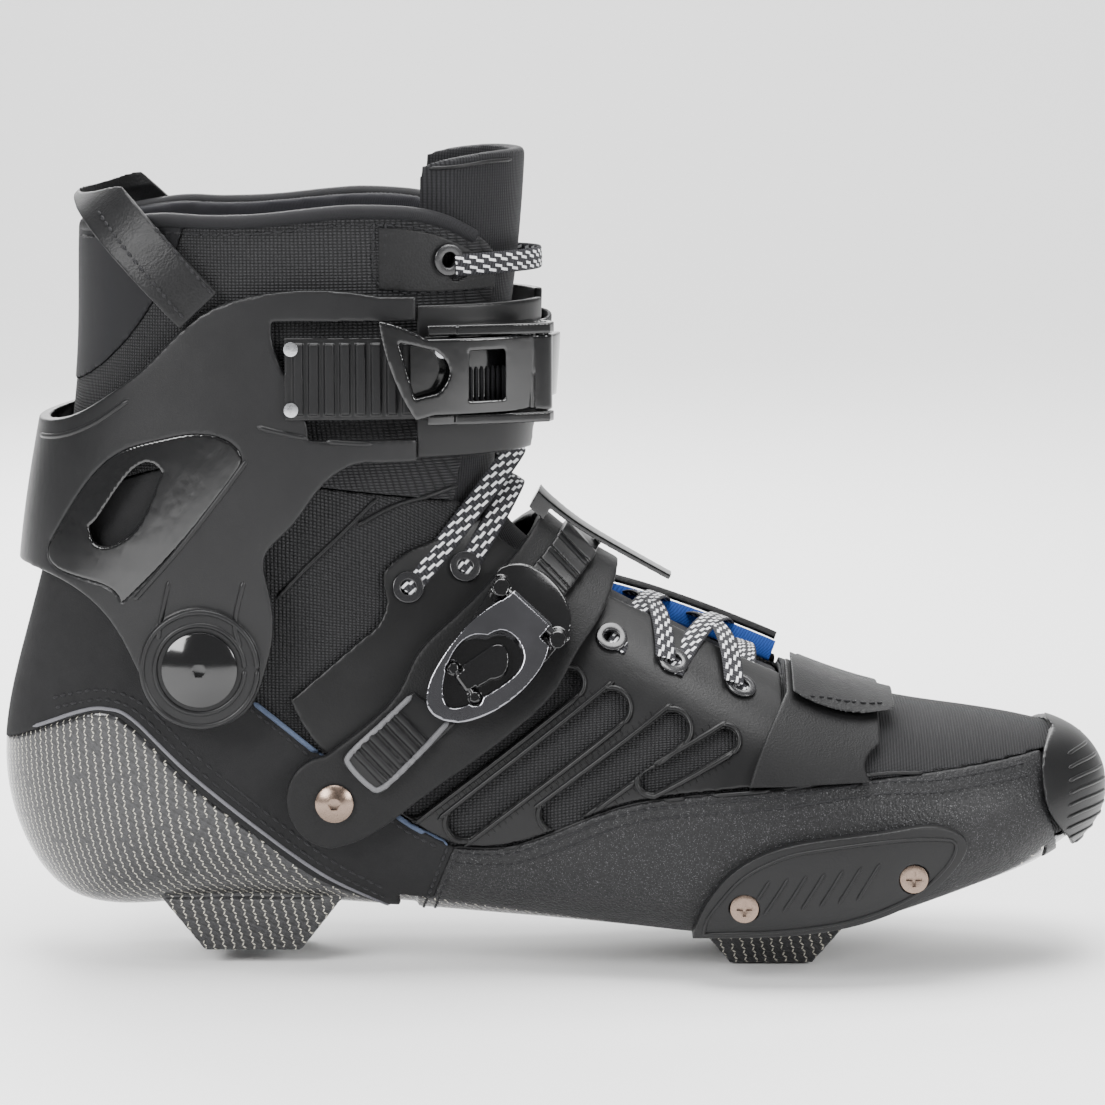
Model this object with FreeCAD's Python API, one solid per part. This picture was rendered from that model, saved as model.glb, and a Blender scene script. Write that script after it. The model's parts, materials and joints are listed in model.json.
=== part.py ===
"""Right-foot inline speed skate boot: carbon shell, soft upper, hinged cuff and three straps.

Frame: +X towards the toe, +Z up, -Y the outer (lateral) side of the foot. Millimetres.
Origin: the mouth of the threaded hole in the front frame-mount block.
"""
import FreeCAD
import Part
import math
import os

Vector = FreeCAD.Vector

# ---------------------------------------------------------------- driving dimensions
MOUNT_SPACING = 150.0      # between the two frame-mount holes
REAR_RISE = 3.7            # rear mount face above the front one
HOLE_R = 3.0               # thread of a frame bolt
HOLE_DEPTH = 8.0
INSERT_R = 5.5
INSERT_LENGTH = 9.0
SEAT_GAP = 0.05            # insert or screw in its seat
PIVOT = (-162.5, 91.0)     # x, z of the cuff pivot
SLEEVE_R = 8.0             # pivot sleeve that the cuff turns on
RUNNING_GAP = 0.06         # radial clearance of a turning fit
STRAP_PIVOT = (-125.0, 52.0)
SPLIT_R = 56.5             # firm rear upper ends on this cylinder about the cuff pivot
SKIN = 1.3                 # leather overlays
BOOTIE_IN = 3.5            # inside of the woven bootie
PAD_IN = 8.0               # inside of the padding
LAYER_GAP = 0.06           # between two layers of one body
SHELL_IN = 3.6             # inside of the carbon shell
KEEL_HALF = 20.0           # half width of the shell's keel
KEEL_TOP = 26.0            # height up to which the keel reaches
CUFF_WALL = 3.2
THROAT = 19.0              # half width of the lacing gap
REACH = 120.0              # longer than the boot is wide

# Sections of the last, toe to collar: the top or front point, the bottom or back point,
# half width, sideways shift of the middle, and how square the lower half is.
LAST = [
    (97.0, 52.0, 97.0, 46.0, 6.0, 6.0, 2.2),
    (94.0, 58.0, 94.0, 40.0, 15.0, 6.0, 2.2),
    (87.0, 64.0, 87.0, 33.5, 25.5, 5.5, 2.3),
    (75.0, 68.0, 75.0, 27.5, 36.5, 4.5, 2.5),
    (55.0, 71.5, 55.0, 21.5, 45.5, 2.5, 2.8),
    (30.0, 76.0, 30.0, 14.0, 51.0, 0.5, 3.0),
    (5.0, 85.0, 5.0, 9.5, 52.5, -1.0, 3.0),
    (-20.0, 96.5, -22.0, 9.5, 49.5, -1.5, 3.0),
    (-40.0, 107.0, -50.0, 11.5, 44.5, -1.5, 2.9),
    (-57.0, 116.5, -86.0, 14.0, 40.5, -1.0, 2.8),
    (-68.0, 124.5, -126.0, 16.5, 39.0, 0.0, 2.7),
    (-75.0, 132.0, -170.0, 16.5, 38.5, 0.0, 2.6),
    (-77.3, 139.5, -204.0, 18.5, 37.5, 0.0, 2.4),
    (-77.2, 145.5, -219.5, 40.0, 38.0, 0.0, 2.3),
    (-76.6, 151.0, -222.5, 62.0, 39.0, 0.0, 2.3),
    (-75.6, 160.0, -216.5, 93.0, 40.5, 0.0, 2.3),
    (-74.5, 168.5, -209.0, 121.0, 42.0, 0.0, 2.3),
    (-73.0, 180.0, -202.5, 152.0, 43.0, 0.0, 2.3),
    (-71.0, 195.0, -199.5, 184.0, 43.0, 0.0, 2.3),
    (-69.0, 213.0, -199.0, 210.0, 43.0, 0.0, 2.3),
    (-67.5, 240.0, -198.5, 240.0, 43.0, 0.0, 2.3),
]
TOP_POWER = 2.2            # how square the upper half of a section is
WAIST = 0.42               # where a section is widest, from its lower point
SECTION_POINTS = 24
LEAST_SECTION = 1.2

# Level sections of the cuff's outer face: height, back, front, half width.
CUFF = [
    (55.0, -219.5, -88.0, 44.8),
    (91.0, -218.8, -80.0, 46.4),
    (118.0, -217.3, -73.0, 47.6),
    (150.0, -212.6, -67.0, 48.2),
    (200.0, -206.5, -63.5, 47.6),
]
CUFF_POWER = 2.5


# ---------------------------------------------------------------- curves and prisms
def power(value, exponent):
    return math.copysign(abs(value) ** exponent, value)


def skinned(rings):
    """A solid through a stack of closed rings of points, with flat ends."""
    surface = Part.BSplineSurface()
    surface.interpolate([ring + ring[:1] for ring in rings])
    side = surface.toShape()
    ends = [Part.Face(Part.Wire([edge])) for edge in side.Edges if edge.isClosed()]
    shell = Part.makeShell([side] + ends)
    shell.sewShape()
    solid = Part.makeSolid(shell)
    if solid.Volume < 0:
        solid.reverse()
    return solid


def last_section(row, inset):
    top_x, top_z, low_x, low_z, half, shift, low_power = row
    length = math.hypot(top_x - low_x, top_z - low_z)
    along = Vector((top_x - low_x) / length, 0, (top_z - low_z) / length)
    middle = Vector(low_x, shift, low_z) + along * (WAIST * length)
    points = []
    for step in range(SECTION_POINTS):
        angle = 2 * math.pi * step / SECTION_POINTS
        towards_low = math.cos(angle)
        exponent = 2.0 / (low_power if towards_low > 0 else TOP_POWER)
        reach = WAIST * length - inset if towards_low > 0 else (1 - WAIST) * length - inset
        rise = -power(towards_low, exponent) * reach
        side = power(math.sin(angle), exponent) * (half - inset)
        points.append(middle + along * rise + Vector(0, side, 0))
    return points


FORMS = {}


def has_room(row, inset):
    """Whether a section is still wide and tall enough once it is drawn in."""
    length = math.hypot(row[0] - row[2], row[1] - row[3])
    return min(row[4], WAIST * length) - inset > LEAST_SECTION


def last(inset):
    """The solid last, every section drawn in by the inset (negative: swollen)."""
    key = ("last", inset)
    if key not in FORMS:
        rows = [row for row in LAST if has_room(row, inset)]
        FORMS[key] = skinned([last_section(row, inset) for row in rows])
    return FORMS[key].copy()


def cuff_form(inset):
    """The solid that the cuff's outer face bounds, drawn in by the inset."""
    key = ("cuff", inset)
    if key in FORMS:
        return FORMS[key].copy()
    rings = []
    for height, back, front, half in CUFF:
        points = []
        for step in range(SECTION_POINTS):
            angle = 2 * math.pi * step / SECTION_POINTS
            exponent = 2.0 / CUFF_POWER
            x = (back + front) / 2 + power(math.cos(angle), exponent) * ((front - back) / 2 - inset)
            y = power(math.sin(angle), exponent) * (half - inset)
            points.append(Vector(x, y, height))
        rings.append(points)
    FORMS[key] = skinned(rings)
    return FORMS[key].copy()


def outline(*runs):
    """A closed face in the XZ plane: a run of two points is a line, a longer one a curve."""
    edges = []
    for run in runs:
        points = [Vector(x, 0, z) for x, z in run]
        if len(points) == 2:
            edges.append(Part.LineSegment(points[0], points[1]).toShape())
        else:
            curve = Part.BSplineCurve()
            curve.interpolate(Points=points)
            edges.append(curve.toShape())
    return Part.Face(Part.Wire(edges))


def polygon(points):
    corners = [Vector(x, 0, z) for x, z in points]
    return Part.Face(Part.makePolygon(corners + [corners[0]]))


def prism(face, low, high):
    """The face, drawn in the XZ plane, as a block from y = low to y = high."""
    moved = face.copy()
    moved.translate(Vector(0, low, 0))
    return moved.extrude(Vector(0, high - low, 0))


def through(face):
    return prism(face, -REACH, REACH)


def lateral(face, inner=0.0):
    return prism(face, -REACH, -inner)


def medial(face, inner=0.0):
    return prism(face, inner, REACH)


def disc(x, z, radius):
    edge = Part.makeCircle(radius, Vector(x, 0, z), Vector(0, 1, 0))
    return Part.Face(Part.Wire([edge]))


def cylinder_y(x, z, radius, low, high):
    return Part.makeCylinder(radius, high - low, Vector(x, low, z), Vector(0, 1, 0))


def capsule(start, end, radius):
    """A slot-shaped face between two points of the XZ plane."""
    length = math.hypot(end[0] - start[0], end[1] - start[1])
    dx = (end[0] - start[0]) / length * radius
    dz = (end[1] - start[1]) / length * radius
    a = Vector(start[0] - dz, 0, start[1] + dx)
    b = Vector(end[0] - dz, 0, end[1] + dx)
    c = Vector(end[0] + dz, 0, end[1] - dx)
    d = Vector(start[0] + dz, 0, start[1] - dx)
    tip = Vector(end[0] + dx, 0, end[1] + dz)
    tail = Vector(start[0] - dx, 0, start[1] - dz)
    edges = [Part.LineSegment(a, b).toShape(), Part.Arc(b, tip, c).toShape(),
             Part.LineSegment(c, d).toShape(), Part.Arc(d, tail, a).toShape()]
    return Part.Face(Part.Wire(edges))


def layer(outer, inner, form=last):
    """The wall between two insets of a form."""
    return form(outer).cut(form(inner))


def halves(shape):
    """The shape parted along the boot's middle into a lateral and a medial half."""
    return shape.cut(Part.makeBox(2 * FAR, LAYER_GAP, 2 * FAR, Vector(-FAR, -LAYER_GAP / 2, -FAR)))


def solids(shape, least=1.0):
    """Only the solids of a shape, without crumbs, as a compound or as one solid."""
    kept = [s for s in shape.Solids if s.Volume > least]
    return kept[0] if len(kept) == 1 else Part.makeCompound(kept)


def surface_y(form, x, z, side):
    """Where a line along Y first meets a form from one side (-1 lateral, 1 medial)."""
    edge = Part.makeLine(Vector(x, side * REACH, z), Vector(x, 0, z))
    box = edge.common(form).BoundBox
    return box.YMin if side < 0 else box.YMax


def foot_of(form, point):
    """The nearest point of a form to a point outside it, and the way out from there."""
    near = form.distToShape(Part.Vertex(point))[1][0][0]
    out = point - near
    return near, out.normalize()


# ---------------------------------------------------------------- shared outlines
FAR = 400.0
CARBON_TOP = [(-228, 62), (-214, 68.5), (-198, 75), (-189.2, 76.1), (-183, 72.5), (-167.4, 56.8),
              (-145.1, 38.6), (-129, 26), (-112, 17), (-104, 5)]
LEATHER_REAR = [(-148.5, 80.0), (-130.5, 65.6), (-107.1, 46.8), (-91.2, 38.1)]
LEATHER_FRONT = [(-91.2, 38.1), (-73.8, 38.8), (-44.9, 50.5), (-25.5, 54.5), (-2.0, 56.8),
                 (27.0, 58.6), (52.0, 60.3), (77.0, 62.6)]
SEAM = [(-91.2, 38.1), (-94.5, 30.0), (-98.5, 18.0), (-101.0, 5.0)]
COLLAR_TOP = [(-206, 214), (-190, 215), (-173, 217), (-160, 216.5), (-145.5, 217), (-117.7, 219.3),
              (-102.7, 218.5), (-93, 215.8), (-83, 210.3), (-77.5, 204), (-60, 190)]
SPLIT_FRONT = (-140.0, 142.8)
SPLIT_END = (-60.0, 130.5)
EYELETS_LOW = [(-45.6, 98.5), (-27.6, 92.1), (-8.2, 85.0)]
EYELETS_HIGH = [(-103.3, 110.2), (-86.9, 116.7), (-90.3, 202.0)]
LACE_WIDTH = 6.4
LACE_THICKNESS = 1.0
LACE_TOPS = [(-73.5, 149.0), (-76.5, 139.5), (-66.8, 203.5)]   # where a run crosses the middle


FOOTBED_TOP = [(-216, 34), (-200, 27), (-170, 24.5), (-126, 24), (-86, 21.5), (-50, 19), (-22, 17),
               (5, 17), (30, 21), (55, 28), (75, 34.5), (86, 40)]


def split_region(gap):
    """Everything below the line where the firm upper ends and the flexing shaft begins."""
    radius = SPLIT_R - gap
    top = (PIVOT[0], PIVOT[1] + radius)
    back_z = PIVOT[1] + radius * math.sin(math.radians(25))
    back = (PIVOT[0] - radius * math.cos(math.radians(25)), back_z)
    angle = math.atan2(SPLIT_FRONT[1] - PIVOT[1], SPLIT_FRONT[0] - PIVOT[0])
    front = (PIVOT[0] + radius * math.cos(angle), PIVOT[1] + radius * math.sin(angle))
    arc = Part.Arc(Vector(back[0], 0, back[1]), Vector(top[0], 0, top[1]), Vector(front[0], 0, front[1]))
    corners = [front, (SPLIT_END[0], SPLIT_END[1] - gap), (FAR, SPLIT_END[1]), (FAR, -FAR),
               (-FAR, -FAR), (-FAR, back_z), back]
    points = [Vector(x, 0, z) for x, z in corners]
    return Part.Face(Part.Wire([arc.toShape()] + Part.makePolygon(points).Edges))


def above(curve):
    """The XZ face over a curve that runs from back to front."""
    return outline(curve, [curve[-1], (FAR, curve[-1][1])], [(FAR, curve[-1][1]), (FAR, FAR)],
                   [(FAR, FAR), (-FAR, FAR)], [(-FAR, FAR), (-FAR, curve[0][1])],
                   [(-FAR, curve[0][1]), curve[0]])


def carbon_region():
    return outline(CARBON_TOP, [CARBON_TOP[-1], (-104, -40)], [(-104, -40), (-240, -40)],
                   [(-240, -40), CARBON_TOP[0]])


def rand_region():
    return outline(LEATHER_FRONT, [LEATHER_FRONT[-1], (78, 50)], [(78, 50), (86, 20)],
                   [(86, 20), (60, -40)], [(60, -40), (-101, -40)], [(-101, -40), SEAM[-1]],
                   list(reversed(SEAM)))


def heel_region():
    """Rear leather: over the carbon edge and behind the seam, up to the cuff's cover."""
    return outline(list(reversed(CARBON_TOP)), [CARBON_TOP[0], (-240, 62)], [(-240, 62), (-240, 180)],
                   [(-240, 180), (-150, 180)], [(-150, 180), LEATHER_REAR[0]], LEATHER_REAR, SEAM,
                   [SEAM[-1], CARBON_TOP[-1]])


def throat_cutter(half):
    """The lacing gap over the instep and up the front of the shaft."""
    return prism(polygon([(2, 66), (2, 130), (-20, FAR), (-104, FAR), (-104, 150), (-96, 118),
                          (-62, 88)]), -half, half)


# ---------------------------------------------------------------- shell and upper
def mount_block(x, bottom, height, face_length, root_length):
    """A tapered block under the shell, flat below."""
    wires = []
    for z, length, width in ((bottom, face_length, 36.0), (bottom + height, root_length, 44.0)):
        corners = [(-length / 2, -width / 2), (length / 2, -width / 2),
                   (length / 2, width / 2), (-length / 2, width / 2)]
        points = [Vector(x + a, b, z) for a, b in corners]
        wires.append(Part.makePolygon(points + [points[0]]))
    return Part.makeLoft(wires, True, True)


def mount_places():
    return [(0.0, 0.0), (-MOUNT_SPACING, REAR_RISE)]


def sole_band(grow=0.0):
    """Middle of the underside, where the carbon is bare under the forefoot."""
    top = [(78 + grow, 36 + grow), (40, 24 + grow), (5, 17 + grow), (-60, 18 + grow), (-102, 22 + grow)]
    corners = [(-102 - 28 * grow, -40), (78 + grow, -40)] + top + [(-102 - 28 * grow, 22 + grow)]
    return prism(polygon(corners if grow else corners[:-1]), -27 - grow, 27 + grow)


def keel_and_walls(shell):
    """The shell as a keel with the mount blocks and two side walls."""
    keel = shell.common(Part.makeBox(2 * FAR, 2 * KEEL_HALF, FAR + KEEL_TOP, Vector(-FAR, -KEEL_HALF, -FAR)))
    grown = KEEL_HALF + LAYER_GAP
    room = Part.makeBox(2 * FAR, 2 * grown, FAR + KEEL_TOP + LAYER_GAP, Vector(-FAR, -grown, -FAR))
    walls = halves(shell.cut(room))
    return Part.makeCompound(keel.Solids + walls.Solids)


def carbon_shell():
    rim = polygon([(-240, -40), (88, -40), (88, 40), (60, 34), (20, 28), (-100, 30), (-125, 45),
                   (-150, 62), (-185, 90), (-240, 90)])
    core = last(SKIN + LAYER_GAP).common(through(rim))
    heel = last(0).common(through(carbon_region()))
    bare = last(0).common(sole_band())
    shell = core.fuse([heel, bare])
    for (x, bottom), (face, root) in zip(mount_places(), ((24.0, 50.0), (28.0, 52.0))):
        shell = shell.fuse(mount_block(x, bottom, 16.0, face, root))
    shell = shell.cut(last(SHELL_IN))
    for x, bottom in mount_places():
        seat = Part.makeCylinder(INSERT_R + SEAT_GAP, INSERT_LENGTH + SEAT_GAP, Vector(x, 0, bottom))
        shell = shell.cut(seat)
    return solids(keel_and_walls(shell))


def mount_inserts():
    parts = []
    for x, bottom in mount_places():
        body = Part.makeCylinder(INSERT_R, INSERT_LENGTH, Vector(x, 0, bottom))
        parts.append(body.cut(Part.makeCylinder(HOLE_R, HOLE_DEPTH, Vector(x, 0, bottom))))
    return Part.makeCompound(parts)


def footbed():
    under = outline(FOOTBED_TOP, [(86, 40), (86, -40)], [(86, -40), (-216, -40)], [(-216, -40), (-216, 34)])
    return solids(last(SHELL_IN + LAYER_GAP).common(through(under)))


def skin(face_block, outer=0.0, inner=SKIN):
    return layer(outer, inner).common(face_block)


def heel_overlay():
    wall = skin(through(heel_region())).common(through(split_region(0.0))).cut(sole_band(0.2))
    return solids(halves(wall.cut(pivot_bores()).cut(strap_bore())))


def rand():
    return solids(halves(skin(through(rand_region())).cut(sole_band(0.2))))


def bootie():
    """Woven inner upper, from the shell's rim to the split, open along the throat."""
    rim = polygon([(-240, 90.2), (-185, 90.2), (-150, 62.2), (-125, 45.2), (-100, 30.2), (20, 28.2),
                   (60, 34.2), (88.2, 40.2), (88.2, -40), (FAR, -40), (FAR, FAR), (-240, FAR)])
    wall = layer(SKIN + LAYER_GAP, BOOTIE_IN).common(through(rim)).common(through(split_region(0.0)))
    wall = wall.cut(throat_cutter(THROAT))
    return solids(halves(wall.cut(pivot_bores()).cut(strap_bore())))


def vamp():
    """Toe-box skin in front of the throat."""
    face = polygon([(2.6, 57.2), (2.6, 120), (90, 120), (90, 62.8), (77, 62.8), (52, 60.5), (27, 58.8)])
    return solids(skin(through(face)))


def tpu_outline():
    return outline([(-99.9, 123.6), (-109.1, 118.5), (-111.4, 114.9), (-110.5, 109.3), (-112, 102.7),
                    (-116.5, 98.3)],
                   [(-116.5, 98.3), (-137.5, 80.5)],
                   [(-137.5, 80.5), (-131.0, 69.0), (-117.8, 56.5), (-106.0, 47.5), (-91.2, 39.5)],
                   [(-91.2, 39.5), (-73.8, 40.2), (-44.9, 51.9), (-25.5, 55.9), (-2.0, 58.2)],
                   [(-2.0, 58.2), (1.6, 60.0), (2.2, 64.0)],
                   [(2.2, 64.0), (2.2, 120.0)],
                   [(2.2, 120.0), (-60.0, 140.0)],
                   [(-60.0, 140.0), (-99.9, 123.6)])


def tpu_windows():
    """Four slanting windows that show the woven bootie."""
    slots = [((-58.8, 85.5), (-103.0, 50.5), 3.6), ((-46.5, 79.0), (-88.5, 45.5), 4.4),
             ((-29.5, 73.5), (-62.0, 48.5), 4.4), ((-14.5, 70.5), (-35.5, 58.8), 3.0)]
    return [capsule(a, b, r) for a, b, r in slots]


def eyestay(side):
    block = lateral(tpu_outline(), THROAT) if side < 0 else medial(tpu_outline(), THROAT)
    wall = skin(block, outer=-0.9).common(through(split_region(0.0)))
    windows = [through(face) for face in tpu_windows()]
    wall = wall.cut(Part.makeCompound(windows))
    for centre, way in eyelet_seats(EYELETS_LOW + EYELETS_HIGH[:2], side):
        wall = wall.cut(Part.makeCylinder(3.3, 12, centre - way * 6, way))
    return solids(wall)


def throat_zone(grow):
    """Where the tongue lies: under the lacing gap and past its edges."""
    half = 29.0 + grow
    return prism(polygon([(2 + grow, 60), (2 + grow, 130), (-20, FAR), (-101 - grow, FAR),
                          (-101 - grow, 150), (-93 - grow, 112 - grow), (-60, 78 - grow)]), -half, half)


def tongue():
    wall = layer(BOOTIE_IN + 0.1, PAD_IN).common(throat_zone(0.0))
    front = outline([(-112, 222), (-103.6, 230), (-91.6, 233.3), (-74.5, 235.0), (-60, 233.0)],
                    [(-60, 233), (60, 130)], [(60, 130), (60, -60)], [(60, -60), (-112, -60)],
                    [(-112, -60), (-112, 222)])
    return solids(wall.common(through(front)))


def padding_lower():
    """Heel and ankle padding under the flexing shaft."""
    over = [(x, z + 0.3) for x, z in FOOTBED_TOP]
    zone = outline(over, [over[-1], (86, FAR)], [(86, FAR), (-216, FAR)], [(-216, FAR), over[0]])
    wall = layer(SHELL_IN + LAYER_GAP, PAD_IN).common(through(zone))
    wall = wall.common(through(polygon([(-216, -40), (-62, -40), (-62, FAR), (-216, FAR)])))
    wall = wall.common(through(split_region(0.0))).cut(throat_zone(0.3))
    return solids(wall.cut(nut_seats()))


def upper_zone():
    """From the split up to the collar's top line."""
    lid = above(COLLAR_TOP)
    return through(split_region(-0.3)), through(lid)


def collar_lining():
    below, lid = upper_zone()
    wall = layer(BOOTIE_IN + 0.1, 9.0).cut(below).cut(lid)
    return solids(wall.cut(throat_zone(0.3)))


REAR_COLLAR = [(-230, 168), (-198, 170), (-182, 184), (-172, 200), (-166, FAR)]


def shaft_wall():
    """Leather and mesh shaft behind the lacing gap."""
    below, lid = upper_zone()
    rear = outline(REAR_COLLAR, [(-166, FAR), (-230, FAR)], [(-230, FAR), (-230, 168)])
    wall = layer(0.0, BOOTIE_IN).cut(below).cut(lid).cut(throat_cutter(23.0)).cut(through(rear))
    for side in (-1, 1):
        for centre, way in eyelet_seats(EYELETS_HIGH[2:], side):
            wall = wall.cut(Part.makeCylinder(3.3, 12, centre - way * 6, way))
    return solids(wall)


def rear_collar():
    """Stretch panel behind the heel tendon."""
    below, lid = upper_zone()
    face = outline(REAR_COLLAR, [(-166, FAR), (-230, FAR)], [(-230, FAR), (-230, 168)])
    return solids(layer(-0.4, BOOTIE_IN).cut(below).cut(lid).common(through(face)))


def toe_cap():
    face = outline([(77.0, 80), (79.5, 70.5), (82.0, 67.0)], [(82.0, 67.0), (77.5, 62.0), (76.8, 56.0),
                   (78.2, 48.0), (83.0, 40.5), (88.0, 33.0)],
                   [(88, 33), (88, 20)], [(88, 20), (120, 20)], [(120, 20), (120, 80)],
                   [(120, 80), (77.0, 80)])
    outer = last(-2.0)
    outer.translate(Vector(0.9, 0, 0))
    return solids(outer.cut(last(-0.1)).common(through(face)))


# ---------------------------------------------------------------- side slider, eyelets, laces
def slider_face():
    return outline([(-23.5, 12.5), (-21.5, 21.0), (-12.3, 34.5), (-0.5, 41.0), (12.0, 43.6),
                    (33.3, 45.7), (49.4, 45.1), (53.8, 41.5), (50.5, 33.5), (40.0, 24.5), (24.5, 18.0),
                    (6.0, 14.8), (-12.0, 13.4), (-23.5, 12.5)])


SLIDER_SCREWS = [(-9.2, 23.6), (38.7, 31.6)]


def side_slider():
    body = layer(-4.6, -0.1).common(lateral(slider_face(), 20))
    for x, z in SLIDER_SCREWS:
        y = surface_y(last(-4.6), x, z, -1)
        body = body.cut(cylinder_y(x, z, 4.3, -REACH, y + 1.9))
        body = body.cut(cylinder_y(x, z, 2.1, -REACH, 0))
    return solids(body)


def slider_screws():
    parts = []
    for x, z in SLIDER_SCREWS:
        y = surface_y(last(-4.6), x, z, -1)
        head = cylinder_y(x, z, 4.0, y + 0.2, y + 1.85)
        slot = Part.makeBox(4.4, 1.1, 0.9, Vector(x - 2.2, y + 0.1, z - 0.45))
        cross = Part.makeBox(0.9, 1.1, 4.4, Vector(x - 0.45, y + 0.1, z - 2.2))
        shank = cylinder_y(x, z, 2.0, y + 1.8, surface_y(last(0), x, z, -1) - 0.1)
        parts.append(head.fuse(shank).cut(slot).cut(cross))
    return Part.makeCompound(parts)


def eyelet_seats(places, side):
    """Centre on the upper's outside and outward direction of each eyelet on one side."""
    form = last(-0.9)
    seats = []
    for x, z in places:
        y = surface_y(form, x, z, side)
        outside = Vector(x, y, z) + Vector(0, side * 6, 3)
        seats.append(foot_of(form, outside))
    return seats


def eyelets():
    rings = []
    for side in (-1, 1):
        for centre, way in eyelet_seats(EYELETS_LOW + EYELETS_HIGH, side):
            tube = Part.makeCylinder(3.2, 2.6, centre - way * 1.6, way)
            flange = Part.makeCylinder(4.5, 0.9, centre + way * 0.15, way)
            bore = Part.makeCylinder(2.2, 8, centre - way * 4, way)
            rings.append(tube.fuse(flange).cut(bore))
    return Part.makeCompound(rings)


def lace_run(start, end, rise):
    """A flat lace from one eyelet to another, bowed over the instep."""
    middle = (start + end) * 0.5 + rise
    width = (end - start).cross(rise).normalize()
    centre = Part.Arc(start, middle, end).toShape().Curve.Center
    over, under = ([point + (point - centre).normalize() * step for point in (start, middle, end)]
                   for step in (LACE_THICKNESS / 2, -LACE_THICKNESS / 2))
    band = Part.Face(Part.Wire([Part.Arc(*over).toShape(), Part.makeLine(over[2], under[2]),
                                Part.Arc(*reversed(under)).toShape(), Part.makeLine(under[0], over[0])]))
    band.translate(width * (-LACE_WIDTH / 2))
    return band.extrude(width * LACE_WIDTH)


def laces():
    """Crossed flat laces, each run over the one before it."""
    outer = {side: eyelet_seats(EYELETS_LOW, side) for side in (-1, 1)}
    up = Vector(0.3, 0, 0.954)
    runs = []
    first = [centre + way * 2.4 for centre, way in (outer[-1][-1], outer[1][-1])]
    runs.append(lace_run(first[0], first[1], up * 9.0))
    for row in range(len(EYELETS_LOW) - 1, 0, -1):
        for side, lift in ((-1, 2.4), (1, 4.4)):
            start = outer[side][row][0] + outer[side][row][1] * lift + Vector(-3.4, 0, 1.6)
            end = outer[-side][row - 1][0] + outer[-side][row - 1][1] * lift
            runs.append(lace_run(start, end, up * (9.0 + lift)))
    for (x, z), lift, top in zip(EYELETS_HIGH, (1.6, 1.6, 1.6), LACE_TOPS):
        ends = [centre + way * lift for centre, way in (eyelet_seats([(x, z)], -1)[0],
                                                        eyelet_seats([(x, z)], 1)[0])]
        middle = (ends[0] + ends[1]) * 0.5
        runs.append(lace_run(ends[0], ends[1], Vector(top[0], middle.y, top[1]) - middle))
    return Part.makeCompound(runs)


# ---------------------------------------------------------------- cuff and its pivots
def pivot_bores():
    return Part.makeCompound([cylinder_y(PIVOT[0], PIVOT[1], 5.05, -REACH, -20),
                              cylinder_y(PIVOT[0], PIVOT[1], 5.05, 20, REACH)])


def nut_seats():
    return Part.makeCompound([cylinder_y(PIVOT[0], PIVOT[1], 9.2, -REACH, -20),
                              cylinder_y(PIVOT[0], PIVOT[1], 9.2, 20, REACH),
                              cylinder_y(STRAP_PIVOT[0], STRAP_PIVOT[1], 7.2, -REACH, -20)])


def strap_bore():
    return cylinder_y(STRAP_PIVOT[0], STRAP_PIVOT[1], 3.05, -REACH, -20)


def mirrored(shape):
    return shape.mirror(Vector(0, 0, 0), Vector(0, 1, 0))


def both_sides(shape):
    return Part.makeCompound([shape, mirrored(shape)])


def ankle_bosses():
    """Pads that carry the pivots, from the leather out to the cuff."""
    face = cuff_inner_y() + 0.35
    pad = cylinder_y(PIVOT[0], PIVOT[1], 14.0, face, -20).cut(last(-0.1))
    pad = pad.cut(cylinder_y(PIVOT[0], PIVOT[1], 5.05, -REACH, -20))
    return both_sides(solids(pad))


def cuff_inner_y():
    return surface_y(cuff_form(CUFF_WALL), PIVOT[0], PIVOT[1], -1)


def cuff_face_y():
    return surface_y(cuff_form(0), PIVOT[0], PIVOT[1], -1)


def pivot_bolts():
    """Turning sleeve and shank, screwed into the ankle nut."""
    face = cuff_face_y()
    inner = surface_y(last(PAD_IN), PIVOT[0], PIVOT[1], -1)
    boss = cuff_inner_y() + 0.35
    sleeve = cylinder_y(PIVOT[0], PIVOT[1], SLEEVE_R, face - 3.0, boss - 0.1)
    shank = cylinder_y(PIVOT[0], PIVOT[1], 5.0, boss - 0.2, inner - 0.3)
    return both_sides(sleeve.fuse(shank))


def pivot_caps():
    """Domed caps over the sleeves, with a small hexagon socket."""
    face = cuff_face_y() - 3.3
    cap = cylinder_y(PIVOT[0], PIVOT[1], 10.6, face - 2.2, face)
    dome = Part.makeSphere(26.0, Vector(PIVOT[0], face + 23.0, PIVOT[1]))
    cap = cap.fuse(cylinder_y(PIVOT[0], PIVOT[1], 10.6, face - 3.6, face)).common(dome)
    points = []
    for corner in range(7):
        angle = math.radians(60 * corner)
        points.append(Vector(PIVOT[0] + 1.9 * math.cos(angle), face - 6, PIVOT[1] + 1.9 * math.sin(angle)))
    socket = Part.Face(Part.makePolygon(points)).extrude(Vector(0, 4.4, 0))
    return both_sides(cap.cut(socket))


def pivot_nuts():
    inner = surface_y(last(BOOTIE_IN + 0.1), PIVOT[0], PIVOT[1], -1)
    depth = surface_y(last(PAD_IN), PIVOT[0], PIVOT[1], -1)
    nut = cylinder_y(PIVOT[0], PIVOT[1], 9.0, inner + 0.6, depth - 0.4)
    return both_sides(nut.cut(cylinder_y(PIVOT[0], PIVOT[1], 5.05, -REACH, -20)).cut(
        layer(-5.0, BOOTIE_IN + 0.05)))


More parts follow.
